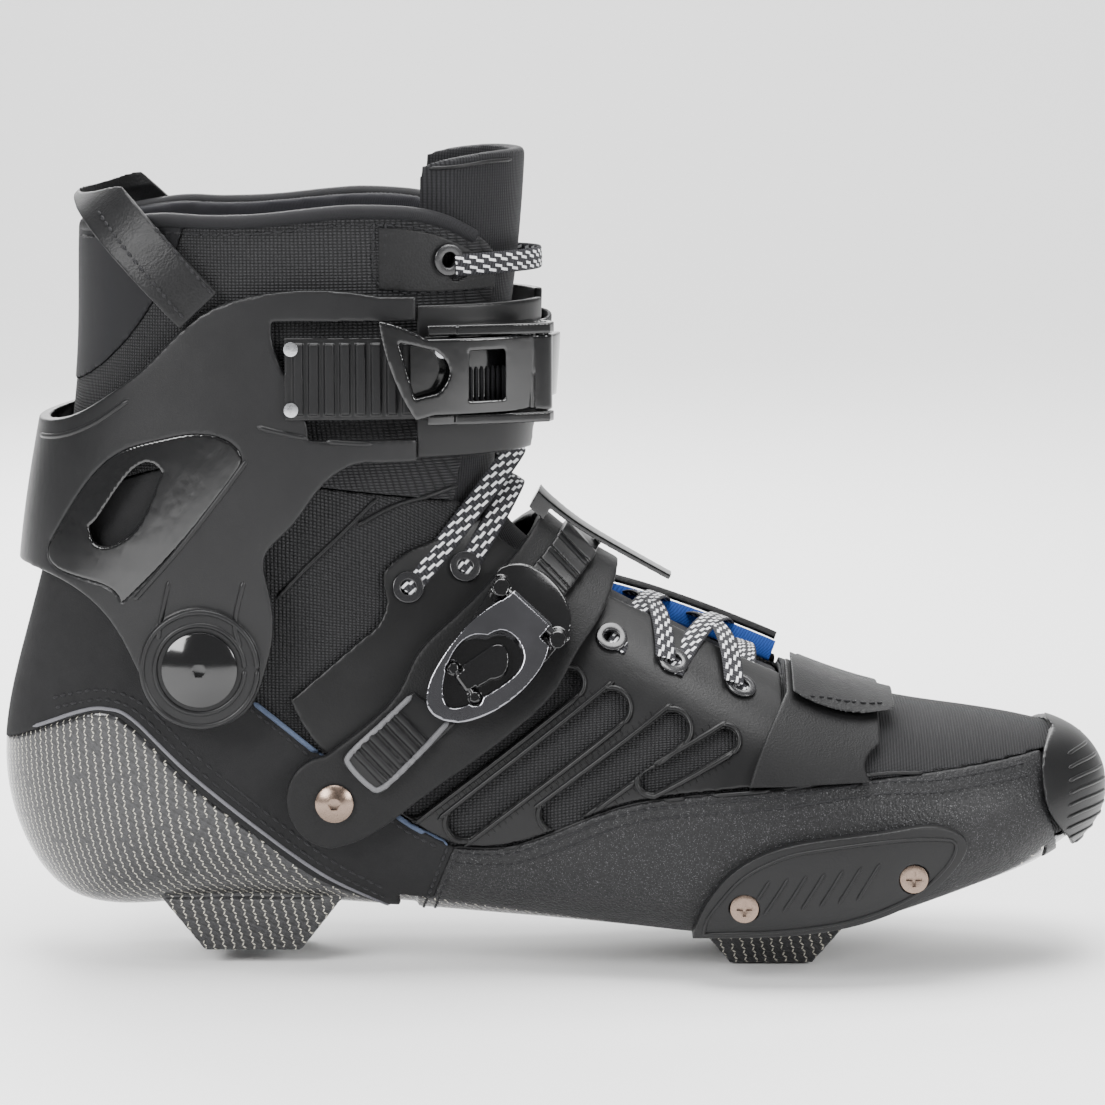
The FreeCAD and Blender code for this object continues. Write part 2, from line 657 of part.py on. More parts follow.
def cuff_outline():
    lower = [(-222.0, 117.4), (-212.0, 117.0), (-201.2, 113.9), (-190.0, 106.0), (-182.3, 93.9),
             (-174.5, 80.5), (-166.0, 74.9), (-157.0, 74.3), (-149.0, 79.0), (-144.8, 88.0),
             (-142.0, 100.0), (-143.2, 114.0), (-144.2, 122.0), (-137.0, 130.7), (-128.0, 142.5),
             (-121.5, 147.6), (-112.0, 149.0)]
    upper = [(-112.0, 195.8), (-145.5, 196.3), (-161.5, 190.6), (-177.8, 175.3), (-188.6, 167.1),
             (-200.1, 160.4), (-210.0, 158.2), (-222.0, 157.5)]
    return outline(lower, [lower[-1], (-101.5, 149.2)], [(-101.5, 149.2), (-101.5, 195.6)],
                   [(-101.5, 195.6), upper[0]], upper, [upper[-1], lower[0]])


def cuff_vent():
    return outline([(-194.0, 130.5), (-185.3, 142.0), (-175.5, 148.9), (-172.8, 146.5)],
                   [(-172.8, 146.5), (-176.3, 137.5), (-184.0, 127.0), (-191.2, 124.8), (-194.0, 130.5)])


def cuff_recess():
    return outline([(-206.0, 124.5), (-196.5, 140.0), (-184.6, 151.8), (-173.1, 155.6), (-155.5, 156.2),
                    (-150.8, 152.5), (-152.5, 145.5)],
                   [(-152.5, 145.5), (-170.5, 123.3), (-184.9, 108.8)],
                   [(-184.9, 108.8), (-197.0, 115.6), (-206.0, 119.6), (-206.0, 124.5)])


def strap_slot():
    """Window in each cuff arm that the ladder strap lies in."""
    return outline([(-141.5, 189.0), (-99.0, 189.0)], [(-99.0, 189.0), (-99.0, 155.5)],
                   [(-99.0, 155.5), (-131.5, 155.5)],
                   [(-131.5, 155.5), (-134.0, 166.0), (-141.5, 184.0), (-141.5, 189.0)])


def cuff_shell():
    wall = layer(0.0, CUFF_WALL, cuff_form).common(through(cuff_outline()))
    boss = both_sides(cylinder_y(PIVOT[0], PIVOT[1], 16.5, cuff_face_y() - 2.6,
                                 cuff_face_y() + 1.6))
    wall = wall.fuse(boss)
    wall = wall.cut(through(cuff_vent())).cut(through(strap_slot()))
    wall = wall.cut(both_sides(cylinder_y(PIVOT[0], PIVOT[1], 16.0, cuff_inner_y(), -20)))
    dent = layer(-1.0, 1.2, cuff_form).common(through(cuff_recess()))
    wall = wall.cut(dent)
    wall = wall.cut(through(disc(PIVOT[0], PIVOT[1], SLEEVE_R + RUNNING_GAP)))
    return solids(wall)


def cuff_panels():
    """Glossy inlays in the sunk fields behind the pivots, open at the vents."""
    wall = layer(0.2, 1.2 - LAYER_GAP, cuff_form).common(through(cuff_recess()))
    return solids(wall.cut(through(cuff_vent())))


def shield_face(low_z, high_z):
    return outline([(-101.3, low_z), (-92.0, low_z), (-56.0, low_z + 0.5)],
                   [(-56.0, low_z + 0.5), (-56.0, high_z)],
                   [(-56.0, high_z), (-92.0, high_z), (-101.3, high_z)],
                   [(-101.3, high_z), (-101.3, low_z)])


def shields():
    """Soft front arms of the cuff, one each side of the tongue."""
    wall = layer(0.6, 2.8, cuff_form).common(through(shield_face(150.2, 193.2)))
    wall = wall.cut(prism(polygon([(-120, 100), (0, 100), (0, FAR), (-120, FAR)]), -15, 15))
    return solids(wall)


def band_block(low_x, high_x, low_z, high_z, low_y, high_y):
    return Part.makeBox(high_x - low_x, high_y - low_y, high_z - low_z, Vector(low_x, low_y, low_z))


LADDER_LOW = 161.5
LADDER_HIGH = 184.5


def cuff_ladder():
    """Toothed strap, riveted in the lateral slot and running forward under the buckle."""
    base = layer(-1.5, -LAYER_GAP, cuff_form)
    strap = base.common(band_block(-138.0, -40.0, LADDER_LOW, LADDER_HIGH, -REACH, -26.0))
    teeth = []
    for step in range(11):
        x = -135.5 + 4.35 * step
        teeth.append(band_block(x, x + 2.6, LADDER_LOW + 1.6, LADDER_HIGH - 1.6, -REACH, -26.0))
    rungs = layer(-2.4, -1.4, cuff_form).common(Part.makeCompound(teeth))
    return solids(strap.fuse(rungs.Solids))


def cuff_strap():
    """Webbing from the medial arm round the front to the buckle's plate."""
    wall = layer(-0.6, 0.5, cuff_form)
    front = wall.common(band_block(-101.0, -40.0, 163.0, 187.0, -21.6, REACH))
    return solids(front)


BUCKLE_PIN = (-66.5, -36.0)


def cuff_buckle_base():
    """Plate under the lever that takes the ladder, with an ear above and below for the pin."""
    plate = layer(-4.2, -2.5, cuff_form).common(band_block(-103, -40, 165.0, 183.0, -REACH, -23.0))
    parts = [plate]
    foot = layer(-4.2, -0.8, cuff_form).common(band_block(-80, -40, 165.0, 183.0, -25.0, -12.0))
    parts.append(foot)
    for low, high in ((160.0, 163.0), (185.0, 188.0)):
        corners = [Vector(x, y, low) for x, y in ((-90, -48), (-74, -43), (-64, -39.2), (-62.8, -36),
                                                  (-64, -32.8), (-72, -26), (-82, -33), (-90, -48))]
        ear = Part.Face(Part.makePolygon(corners)).extrude(Vector(0, 0, high - low))
        ear = ear.cut(cuff_form(-1.6))
        rail = layer(-5.6, -2.5, cuff_form).common(band_block(-98, -62, low, high, -REACH, -27.0))
        parts += [ear, rail]
        parts.append(layer(-4.2, -2.5, cuff_form).common(
            band_block(-92, -62, min(low, 182.5), max(high, 165.5), -REACH, -27.0)))
    body = parts[0].fuse(parts[1:])
    pin_hole = Part.makeCylinder(1.55, 60, Vector(BUCKLE_PIN[0], BUCKLE_PIN[1], 150))
    return solids(body.cut(pin_hole))


def cuff_buckle_pin():
    return Part.makeCylinder(1.5, 28.4, Vector(BUCKLE_PIN[0], BUCKLE_PIN[1], 159.8))


def cuff_lever():
    """Long ratchet lever with a finger opening, turning on the upright pin."""
    face = outline([(-111.5, 189.9), (-108.0, 189.0), (-98.0, 184.6)], [(-98.0, 184.6), (-62.0, 184.6)],
                   [(-62.0, 184.6), (-62.0, 163.4)], [(-62.0, 163.4), (-96.0, 163.4)],
                   [(-96.0, 163.4), (-101.3, 162.0)], [(-101.3, 162.0), (-108.5, 177.0), (-111.5, 189.9)])
    body = layer(-9.6, -6.0, cuff_form).common(lateral(face, 36.0))
    knuckle = Part.makeCylinder(3.2, 21.2, Vector(BUCKLE_PIN[0], BUCKLE_PIN[1], 163.4))
    body = body.fuse(knuckle)
    grip = outline([(-106.0, 184.0), (-96.0, 181.5)], [(-96.0, 181.5), (-92.0, 176.0), (-95.0, 169.5)],
                   [(-95.0, 169.5), (-101.5, 168.0)], [(-101.5, 168.0), (-106.0, 184.0)])
    window = polygon([(-86.5, 181.0), (-76.5, 181.0), (-76.5, 167.0), (-86.5, 167.0)])
    body = body.cut(lateral(grip, 20)).cut(lateral(window, 20))
    body = body.cut(Part.makeCylinder(1.5 + RUNNING_GAP, 60, Vector(BUCKLE_PIN[0], BUCKLE_PIN[1], 150)))
    return solids(body)


def cuff_rivets():
    """Round heads that hold the ladder and the buckle plate."""
    parts = []
    places = ((-136.2, 164.5, -2.4), (-136.2, 181.5, -2.4), (-94.0, 167.2, -5.0), (-94.0, 180.8, -5.0))
    for x, z, out in places:
        y = surface_y(cuff_form(out), x, z, -1)
        parts.append(cylinder_y(x, z, 2.0, y - 0.4, y + 0.9))
    return Part.makeCompound(parts)


# ---------------------------------------------------------------- instep strap
def instep_strap():
    """Padded strap from its screw up over the instep."""
    band = outline([(-126.0, 38.4), (-114.3, 42.9), (-99.8, 53.8), (-85.4, 64.2), (-70.9, 75.6),
                    (-61.6, 85.3), (-56.5, 94.3), (-49.9, 103.5), (-46.0, 111.0), (-43.0, 121.0)],
                   [(-43.0, 121.0), (-35.0, 150.0)], [(-35.0, 150.0), (-62.0, 150.0)],
                   [(-62.0, 150.0), (-66.0, 131.0)],
                   [(-66.0, 131.0), (-79.8, 114.8), (-91.4, 104.0), (-102.5, 92.4), (-105.4, 86.1),
                    (-119.2, 71.7), (-127.5, 65.4)],
                   [(-127.5, 65.4), (-138.4, 55.5), (-137.0, 46.0), (-126.0, 38.4)])
    wall = layer(-6.4, -1.9).common(lateral(band, 0.6))
    return solids(wall.cut(cylinder_y(STRAP_PIVOT[0], STRAP_PIVOT[1], 3.5 + RUNNING_GAP, -REACH, -20)))


def strap_screw():
    """Domed pivot screw with a shouldered shank."""
    x, z = STRAP_PIVOT
    face = surface_y(last(-6.4), x, z, -1) - 0.35
    base = surface_y(last(0), x, z, -1) - 0.1
    inner = surface_y(last(BOOTIE_IN), x, z, -1) + 2.2
    head = cylinder_y(x, z, 5.4, face - 2.4, face)
    head = head.common(Part.makeSphere(9.0, Vector(x, face + 6.4, z)))
    head = head.fuse([cylinder_y(x, z, 3.5, face - 0.4, base), cylinder_y(x, z, 3.0, base - 0.3, inner)])
    points = []
    for corner in range(7):
        angle = math.radians(60 * corner)
        points.append(Vector(x + 1.7 * math.cos(angle), face - 4, z + 1.7 * math.sin(angle)))
    return head.cut(Part.Face(Part.makePolygon(points)).extrude(Vector(0, 3.0, 0)))


def strap_nut():
    x, z = STRAP_PIVOT
    inner = surface_y(last(BOOTIE_IN + 0.1), x, z, -1)
    nut = cylinder_y(x, z, 7.0, inner - 2, inner + 2.6).cut(layer(-5.0, BOOTIE_IN + 0.05))
    return solids(nut.cut(cylinder_y(x, z, 3.05, -REACH, -20)))


def instep_tail():
    """Free end of the toothed strap, lying on the pad below the buckle."""
    face = outline([(-102.5, 84.0), (-120.6, 67.4)], [(-120.6, 67.4), (-122.4, 65.0), (-121.2, 62.4)],
                   [(-121.2, 62.4), (-115.0, 56.4)], [(-115.0, 56.4), (-113.0, 55.2), (-110.6, 56.0)],
                   [(-110.6, 56.0), (-90.8, 75.0)], [(-90.8, 75.0), (-102.5, 84.0)])
    base = layer(-8.2, -6.5).common(lateral(face, 5))
    rungs = []
    for step in range(6):
        shift = 3.2 * step
        middle = (-114.5 + shift * 0.72, 62.6 + shift * 0.69)
        rungs.append(lateral(capsule((middle[0] - 4.2, middle[1] + 4.4), (middle[0] + 4.2, middle[1] - 4.4),
                                     0.95), 5))
    raised = layer(-9.1, -8.1).common(Part.makeCompound(rungs))
    return solids(base.fuse(raised.Solids))


def instep_ladder():
    """Toothed strap above the buckle, under the keeper."""
    face = polygon([(-73.5, 113.0), (-52.5, 134.5), (-44.5, 126.5), (-65.0, 104.5)])
    body = layer(-9.1, -6.5).common(prism(face, -60.0, -3.0))
    grooves = []
    for step in range(6):
        middle = (-68.8 + 2.95 * step, 109.3 + 3.0 * step)
        groove = capsule((middle[0] - 7.0, middle[1] + 6.8), (middle[0] + 7.0, middle[1] - 6.8), 0.8)
        grooves.append(prism(groove, -60.0, -2.0))
    return solids(body.cut(layer(-12.0, -8.2).common(Part.makeCompound(grooves))))


RING_AXIS = ((-77.8, 113.4), (-61.9, 99.4))   # x, z of the ends of the ring's pin
CATCH_AXIS = ((-91.2, 91.4), (-85.2, 83.4))
PIN_DEPTH = -12.7          # insets of the two pins' centre lines
CATCH_DEPTH = -12.0


def axis_ends(ends, inset):
    """Both ends of a pin as points over the lateral side."""
    (x0, z0), (x1, z1) = ends
    middle = ((x0 + x1) / 2, (z0 + z1) / 2)
    step = 0.02
    y_mid = surface_y(last(inset), middle[0], middle[1], -1)
    far = (middle[0] + step * (x1 - x0), middle[1] + step * (z1 - z0))
    slope = (surface_y(last(inset), far[0], far[1], -1) - y_mid) / step
    return (Vector(x0, y_mid - slope / 2, z0), Vector(x1, y_mid + slope / 2, z1))


def rod(ends, radius, inset, extra=0.0):
    start, end = axis_ends(ends, inset)
    way = (end - start).normalize()
    length = (end - start).Length + 2 * extra
    return Part.makeCylinder(radius, length, start - way * extra, way)


def ear_rooms(ends, radius, inset, half):
    """Cylinders about a pin, one round each of its ends, that an ear stands in."""
    start, end = axis_ends(ends, inset)
    way = (end - start).normalize()
    return [Part.makeCylinder(radius, 2 * half, centre - way * half, way) for centre in (start, end)]


def shortened(ends, cut):
    """The same axis with both ends drawn in by a length."""
    (x0, z0), (x1, z1) = ends
    length = math.hypot(x1 - x0, z1 - z0)
    dx, dz = (x1 - x0) / length * cut, (z1 - z0) / length * cut
    return ((x0 + dx, z0 + dz), (x1 - dx, z1 - dz))


def instep_pins():
    return Part.makeCompound([rod(RING_AXIS, 1.2, PIN_DEPTH), rod(CATCH_AXIS, 0.8, CATCH_DEPTH)])


def instep_frame():
    """Buckle frame under the ring lever, with ears for both pins."""
    face = outline([(-79.0, 117.2), (-74.0, 119.0), (-58.0, 103.0), (-60.0, 98.5)],
                   [(-60.0, 98.5), (-66.0, 92.0)],
                   [(-66.0, 92.0), (-83.0, 79.5), (-90.0, 78.6), (-95.8, 82.5)],
                   [(-95.8, 82.5), (-95.0, 88.0), (-85.0, 106.0), (-79.0, 117.2)])
    frame = layer(-10.4, -9.2).common(lateral(face, 12))
    clips = [lateral(capsule((-77.0, 116.5), (-74.5, 114.0), 1.9), 12),
             lateral(capsule((-62.6, 102.1), (-60.1, 99.6), 1.9), 12)]
    posts = layer(-10.4, -6.5).common(Part.makeCompound(clips))
    ears = [lateral(disc(x, z, 2.4), 12) for x, z in RING_AXIS]
    ears = layer(-14.8, -9.4).common(Part.makeCompound(ears))
    small = [lateral(disc(x, z, 1.6), 12) for x, z in CATCH_AXIS]
    small = layer(-13.2, -9.4).common(Part.makeCompound(small))
    body = frame.fuse(posts.Solids + ears.Solids + small.Solids)
    body = body.cut(rod(RING_AXIS, 1.2 + SEAT_GAP, PIN_DEPTH, 4.0))
    return solids(body.cut(rod(CATCH_AXIS, 0.8 + SEAT_GAP, CATCH_DEPTH, 2.0)))


def ring_points():
    return [(-75.5, 111.2), (-70.5, 110.6), (-65.0, 104.6), (-64.6, 96.0), (-69.0, 88.5), (-84.0, 77.8),
            (-91.5, 76.6), (-98.0, 80.0), (-98.6, 85.4), (-95.4, 93.0), (-86.0, 104.5), (-75.5, 111.2)]


def instep_lever():
    """Bright ring lever over the buckle frame, turning on its upper pin."""
    outer = outline(ring_points())
    hole = outline([(-81.5, 100.5), (-75.0, 101.0), (-71.5, 95.5), (-80.0, 85.4), (-93.0, 81.4),
                    (-93.6, 89.5), (-81.5, 100.5)])
    (x0, z0), (x1, z1) = RING_AXIS
    below = polygon([(x0 - 10, z0 + 8.8), (x1 + 10, z1 - 8.8), (x1 - 30, z1 - 60), (x0 - 60, z0 - 40)])
    body = layer(-14.6, -11.2).common(lateral(outer, 10)).common(lateral(below, 10))
    seats = [lateral(disc(x, z, 2.9), 10) for x, z in RING_AXIS]
    seats += [lateral(disc(x, z, 2.2), 10) for x, z in CATCH_AXIS]
    seats += ear_rooms(RING_AXIS, 4.0, PIN_DEPTH, 3.5)
    body = body.cut([lateral(hole, 10)] + seats)
    body = body.fuse(rod(shortened(RING_AXIS, 3.6), 2.0, PIN_DEPTH))
    return solids(body.cut(rod(RING_AXIS, 1.2 + RUNNING_GAP, PIN_DEPTH, 4.0)))


def instep_catch():
    """Small release catch inside the ring, turning on the lower pin."""
    face = outline([(-80.6, 97.4), (-76.8, 97.2), (-75.6, 94.0), (-80.5, 88.4)],
                   [(-80.5, 88.4), (-85.4, 85.4)], [(-85.4, 85.4), (-89.9, 91.4)],
                   [(-89.9, 91.4), (-80.6, 97.4)])
    body = layer(-13.2, -11.0).common(lateral(face, 10))
    body = body.cut(ear_rooms(CATCH_AXIS, 2.3, CATCH_DEPTH, 2.2))
    body = body.fuse(rod(shortened(CATCH_AXIS, 2.3), 1.5, CATCH_DEPTH))
    return solids(body.cut(rod(CATCH_AXIS, 0.8 + RUNNING_GAP, CATCH_DEPTH, 2.0)))


def instep_keeper():
    """Thin bracket that the toothed strap runs under at the top of the instep."""
    over = prism(polygon([(-76, 122), (-40, 96), (-24, 120), (-60, 150)]), -12.0, -6.0)
    plate = layer(-11.6, -10.0).common(over)
    back = prism(polygon([(-76, 122), (-71.5, 118.7), (-55.5, 146.7), (-60, 150)]), -12.0, -6.0)
    front = prism(polygon([(-44.5, 99.2), (-40, 96), (-24, 120), (-28.5, 123.2)]), -12.0, -6.0)
    legs = layer(-11.6, -6.5).common(Part.makeCompound([back, front]))
    lace_room = Part.makeBox(42, 40, 60, Vector(-42, -13, 80))
    return solids(plate.fuse(legs.cut(lace_room).Solids))


def instep_strap_inner():
    """Medial half of the strap, sewn down beside the tongue, ending at the keeper."""
    face = outline([(-126.0, 38.4), (-99.8, 53.8), (-70.9, 75.6), (-56.5, 94.3), (-49.9, 103.5),
                    (-46.0, 111.0), (-43.0, 121.0)],
                   [(-43.0, 121.0), (-35.0, 150.0)], [(-35.0, 150.0), (-62.0, 150.0)],
                   [(-62.0, 150.0), (-66.0, 131.0)],
                   [(-66.0, 131.0), (-81.7, 117.0), (-102.5, 93.1), (-119.2, 71.7), (-134.0, 56.0)],
                   [(-134.0, 56.0), (-126.0, 38.4)])
    return solids(layer(-6.0, -1.5).common(medial(face, 0.6)))


# ---------------------------------------------------------------- toe strap and pull loop


def toe_strap():
    """Hook-and-loop strap over the end of the lacing, from the medial side."""
    face = polygon([(8.4, 40), (8.4, 130), (34.5, 130), (30.0, 50)])
    wall = layer(-3.2, -1.5).common(prism(face, -8.0, REACH))
    low = prism(polygon([(0, 0), (60, 0), (60, 52), (0, 52)]), -REACH, REACH)
    return solids(wall.cut(low))


def toe_strap_tab():
    """Free end of the strap, which peels up from the lateral side."""
    face = outline([(6.5, 130), (36.0, 130)], [(36.0, 130), (34.5, 76.0)],
                   [(34.5, 76.0), (24.0, 76.0), (5.0, 82.5)], [(5.0, 82.5), (6.5, 130)])
    return solids(layer(-5.2, -3.5).common(prism(face, -REACH, -8.4)))


def toe_strap_base():
    """Folded leather under the tab, sewn into the rand."""
    face = outline([(3.2, 81.5), (6.5, 130)], [(6.5, 130), (33.0, 130)], [(33.0, 130), (29.6, 68.0)],
                   [(29.6, 68.0), (25.1, 63.4), (26.5, 58.8)],
                   [(26.5, 58.8), (-8.0, 58.0)], [(-8.0, 58.0), (-4.1, 68.9), (3.2, 81.5)])
    return solids(layer(-2.9, -1.2).common(prism(face, -REACH, -9.0)))


def pull_loop():
    """Leather loop over the back of the collar, in a plane that leans back."""
    foot = Vector(-162.0, 0, 192.0)
    lean = Vector(-0.69, 0, 0.724)
    width = Vector(0.724, 0, 0.69)
    outer = []
    inner = []
    for y, rise in ((-47.3, 0.0), (-46.2, 20.0), (-36.0, 37.5), (-20.0, 45.5), (0.0, 48.0)):
        outer.append(foot + lean * rise + Vector(0, y, 0))
    for y, rise in ((-44.8, 0.0), (-43.7, 19.0), (-34.2, 35.3), (-19.2, 43.0), (0.0, 45.5)):
        inner.append(foot + lean * rise + Vector(0, y, 0))
    over = outer + [Vector(p.x, -p.y, p.z) for p in reversed(outer[:-1])]
    under = inner + [Vector(p.x, -p.y, p.z) for p in reversed(inner[:-1])]
    top = Part.BSplineCurve()
    top.interpolate(Points=over)
    bottom = Part.BSplineCurve()
    bottom.interpolate(Points=under)
    edges = [top.toShape(), Part.LineSegment(over[-1], under[-1]).toShape(), bottom.toShape(),
             Part.LineSegment(under[0], over[0]).toShape()]
    face = Part.Face(Part.Wire(Part.__sortEdges__(edges)))
    band = face.extrude(width * 14.6)
    band.translate(width * -7.3)
    return solids(band.cut(last(-0.5)))


NODES = {
    "carbon_shell": carbon_shell,
    "mount_inserts": mount_inserts,
    "footbed": footbed,
    "heel_overlay": heel_overlay,
    "leather_rand": rand,
    "woven_bootie": bootie,
    "toe_vamp": vamp,
    "toe_cap": toe_cap,
    "eyestay_lateral": lambda: eyestay(-1),
    "eyestay_medial": lambda: eyestay(1),
    "tongue": tongue,
    "ankle_padding": padding_lower,
    "collar_lining": collar_lining,
    "shaft_wall": shaft_wall,
    "rear_collar": rear_collar,
    "pull_loop": pull_loop,
    "side_slider": side_slider,
    "slider_screws": slider_screws,
    "lace_eyelets": eyelets,
    "laces": laces,
    "ankle_bosses": ankle_bosses,
    "pivot_bolts": pivot_bolts,
    "pivot_caps": pivot_caps,
    "pivot_nuts": pivot_nuts,
    "cuff_shell": cuff_shell,
    "cuff_panels": cuff_panels,
    "cuff_shields": shields,
    "cuff_ladder": cuff_ladder,
    "cuff_strap": cuff_strap,
    "cuff_buckle_base": cuff_buckle_base,
    "cuff_buckle_pin": cuff_buckle_pin,
    "cuff_lever": cuff_lever,
    "cuff_rivets": cuff_rivets,
    "instep_strap": instep_strap,
    "instep_strap_screw": strap_screw,
    "instep_strap_nut": strap_nut,
    "instep_tail": instep_tail,
    "instep_ladder": instep_ladder,
    "instep_buckle_frame": instep_frame,
    "instep_lever": instep_lever,
    "instep_catch": instep_catch,
    "instep_pins": instep_pins,
    "instep_keeper": instep_keeper,
    "instep_strap_inner": instep_strap_inner,
    "toe_strap": toe_strap,
    "toe_strap_tab": toe_strap_tab,
    "toe_strap_base": toe_strap_base,
}


def main():
    os.makedirs("parts", exist_ok=True)
    for name, build in NODES.items():
        shape = build()
        print(name, len(shape.Solids), round(shape.Volume), shape.isValid(), flush=True)
        shape.exportStep("parts/" + name + ".step")


main()
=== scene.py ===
"""The looks of a right-foot inline speed skate boot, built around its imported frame."""

import json
import logging
import math
from collections.abc import Callable
from dataclasses import dataclass
from enum import Enum

import bpy
from mathutils import Euler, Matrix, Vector
from mathutils.bvhtree import BVHTree


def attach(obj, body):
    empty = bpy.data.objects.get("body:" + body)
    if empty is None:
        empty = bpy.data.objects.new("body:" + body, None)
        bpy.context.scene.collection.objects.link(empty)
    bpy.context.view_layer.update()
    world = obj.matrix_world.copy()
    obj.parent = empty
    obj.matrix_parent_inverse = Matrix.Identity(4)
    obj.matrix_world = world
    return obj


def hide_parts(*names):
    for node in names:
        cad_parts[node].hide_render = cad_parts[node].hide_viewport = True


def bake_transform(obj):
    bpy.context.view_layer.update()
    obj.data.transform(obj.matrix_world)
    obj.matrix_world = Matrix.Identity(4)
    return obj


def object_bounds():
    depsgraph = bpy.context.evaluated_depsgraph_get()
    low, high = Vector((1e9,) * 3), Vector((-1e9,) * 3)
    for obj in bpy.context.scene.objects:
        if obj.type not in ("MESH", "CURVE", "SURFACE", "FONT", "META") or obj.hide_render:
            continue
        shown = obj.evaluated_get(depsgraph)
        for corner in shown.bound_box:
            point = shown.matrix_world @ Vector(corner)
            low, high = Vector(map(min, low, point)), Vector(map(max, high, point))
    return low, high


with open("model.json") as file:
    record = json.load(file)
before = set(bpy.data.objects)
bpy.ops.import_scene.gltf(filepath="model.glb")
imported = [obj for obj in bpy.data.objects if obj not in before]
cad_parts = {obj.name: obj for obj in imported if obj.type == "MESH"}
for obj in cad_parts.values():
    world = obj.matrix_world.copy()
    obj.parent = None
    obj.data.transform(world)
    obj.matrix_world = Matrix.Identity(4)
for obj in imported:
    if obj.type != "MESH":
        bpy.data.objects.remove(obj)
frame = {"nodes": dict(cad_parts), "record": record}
CAD_BOX = [list(corner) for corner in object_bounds()]
LOG = logging.getLogger("skate_boot")
MM = 0.001
LATERAL, MEDIAL = -1, 1
BOTH = (LATERAL, MEDIAL)
BESIDE = 0.2            # where a ray towards the boot's side starts, in metres
MERGE = 0.004 * MM      # corners nearer than this are one
CURVE_STEPS = 24        # points between two neighbours of a drawn path
SEAM_BREAK = 3.0        # a longer gap between draped points interrupts a seam, in millimetres
UP_TONGUE = Vector((0.3, 0, 0.954))


# ---- shader expressions
def arithmetic(operation: str, swapped: bool = False) -> Callable:
    """An operator method that adds a Math node.

    Args:
        operation: the Math node's operation.
        swapped: whether the other value comes first.

    Returns:
        The method.
    """
    def method(number: "Number", other: object) -> "Number":
        """The result as a number."""
        pair = (other, number) if swapped else (number, other)
        return number.graph.math(operation, *pair)
    return method


class Number:
    """A number socket that takes part in Python expressions."""

    def __init__(self, graph: "Graph", socket: bpy.types.NodeSocket) -> None:
        """Wraps one output socket of a graph."""
        self.graph = graph
        self.socket = socket

    __add__ = arithmetic("ADD")
    __radd__ = arithmetic("ADD", True)
    __sub__ = arithmetic("SUBTRACT")
    __rsub__ = arithmetic("SUBTRACT", True)
    __mul__ = arithmetic("MULTIPLY")
    __gt__ = arithmetic("GREATER_THAN")
    __lt__ = arithmetic("LESS_THAN")

    def wave(self) -> "Number":
        """Its sine."""
        return self.graph.math("SINE", self)

    def size(self) -> "Number":
        """Its absolute value."""
        return self.graph.math("ABSOLUTE", self)


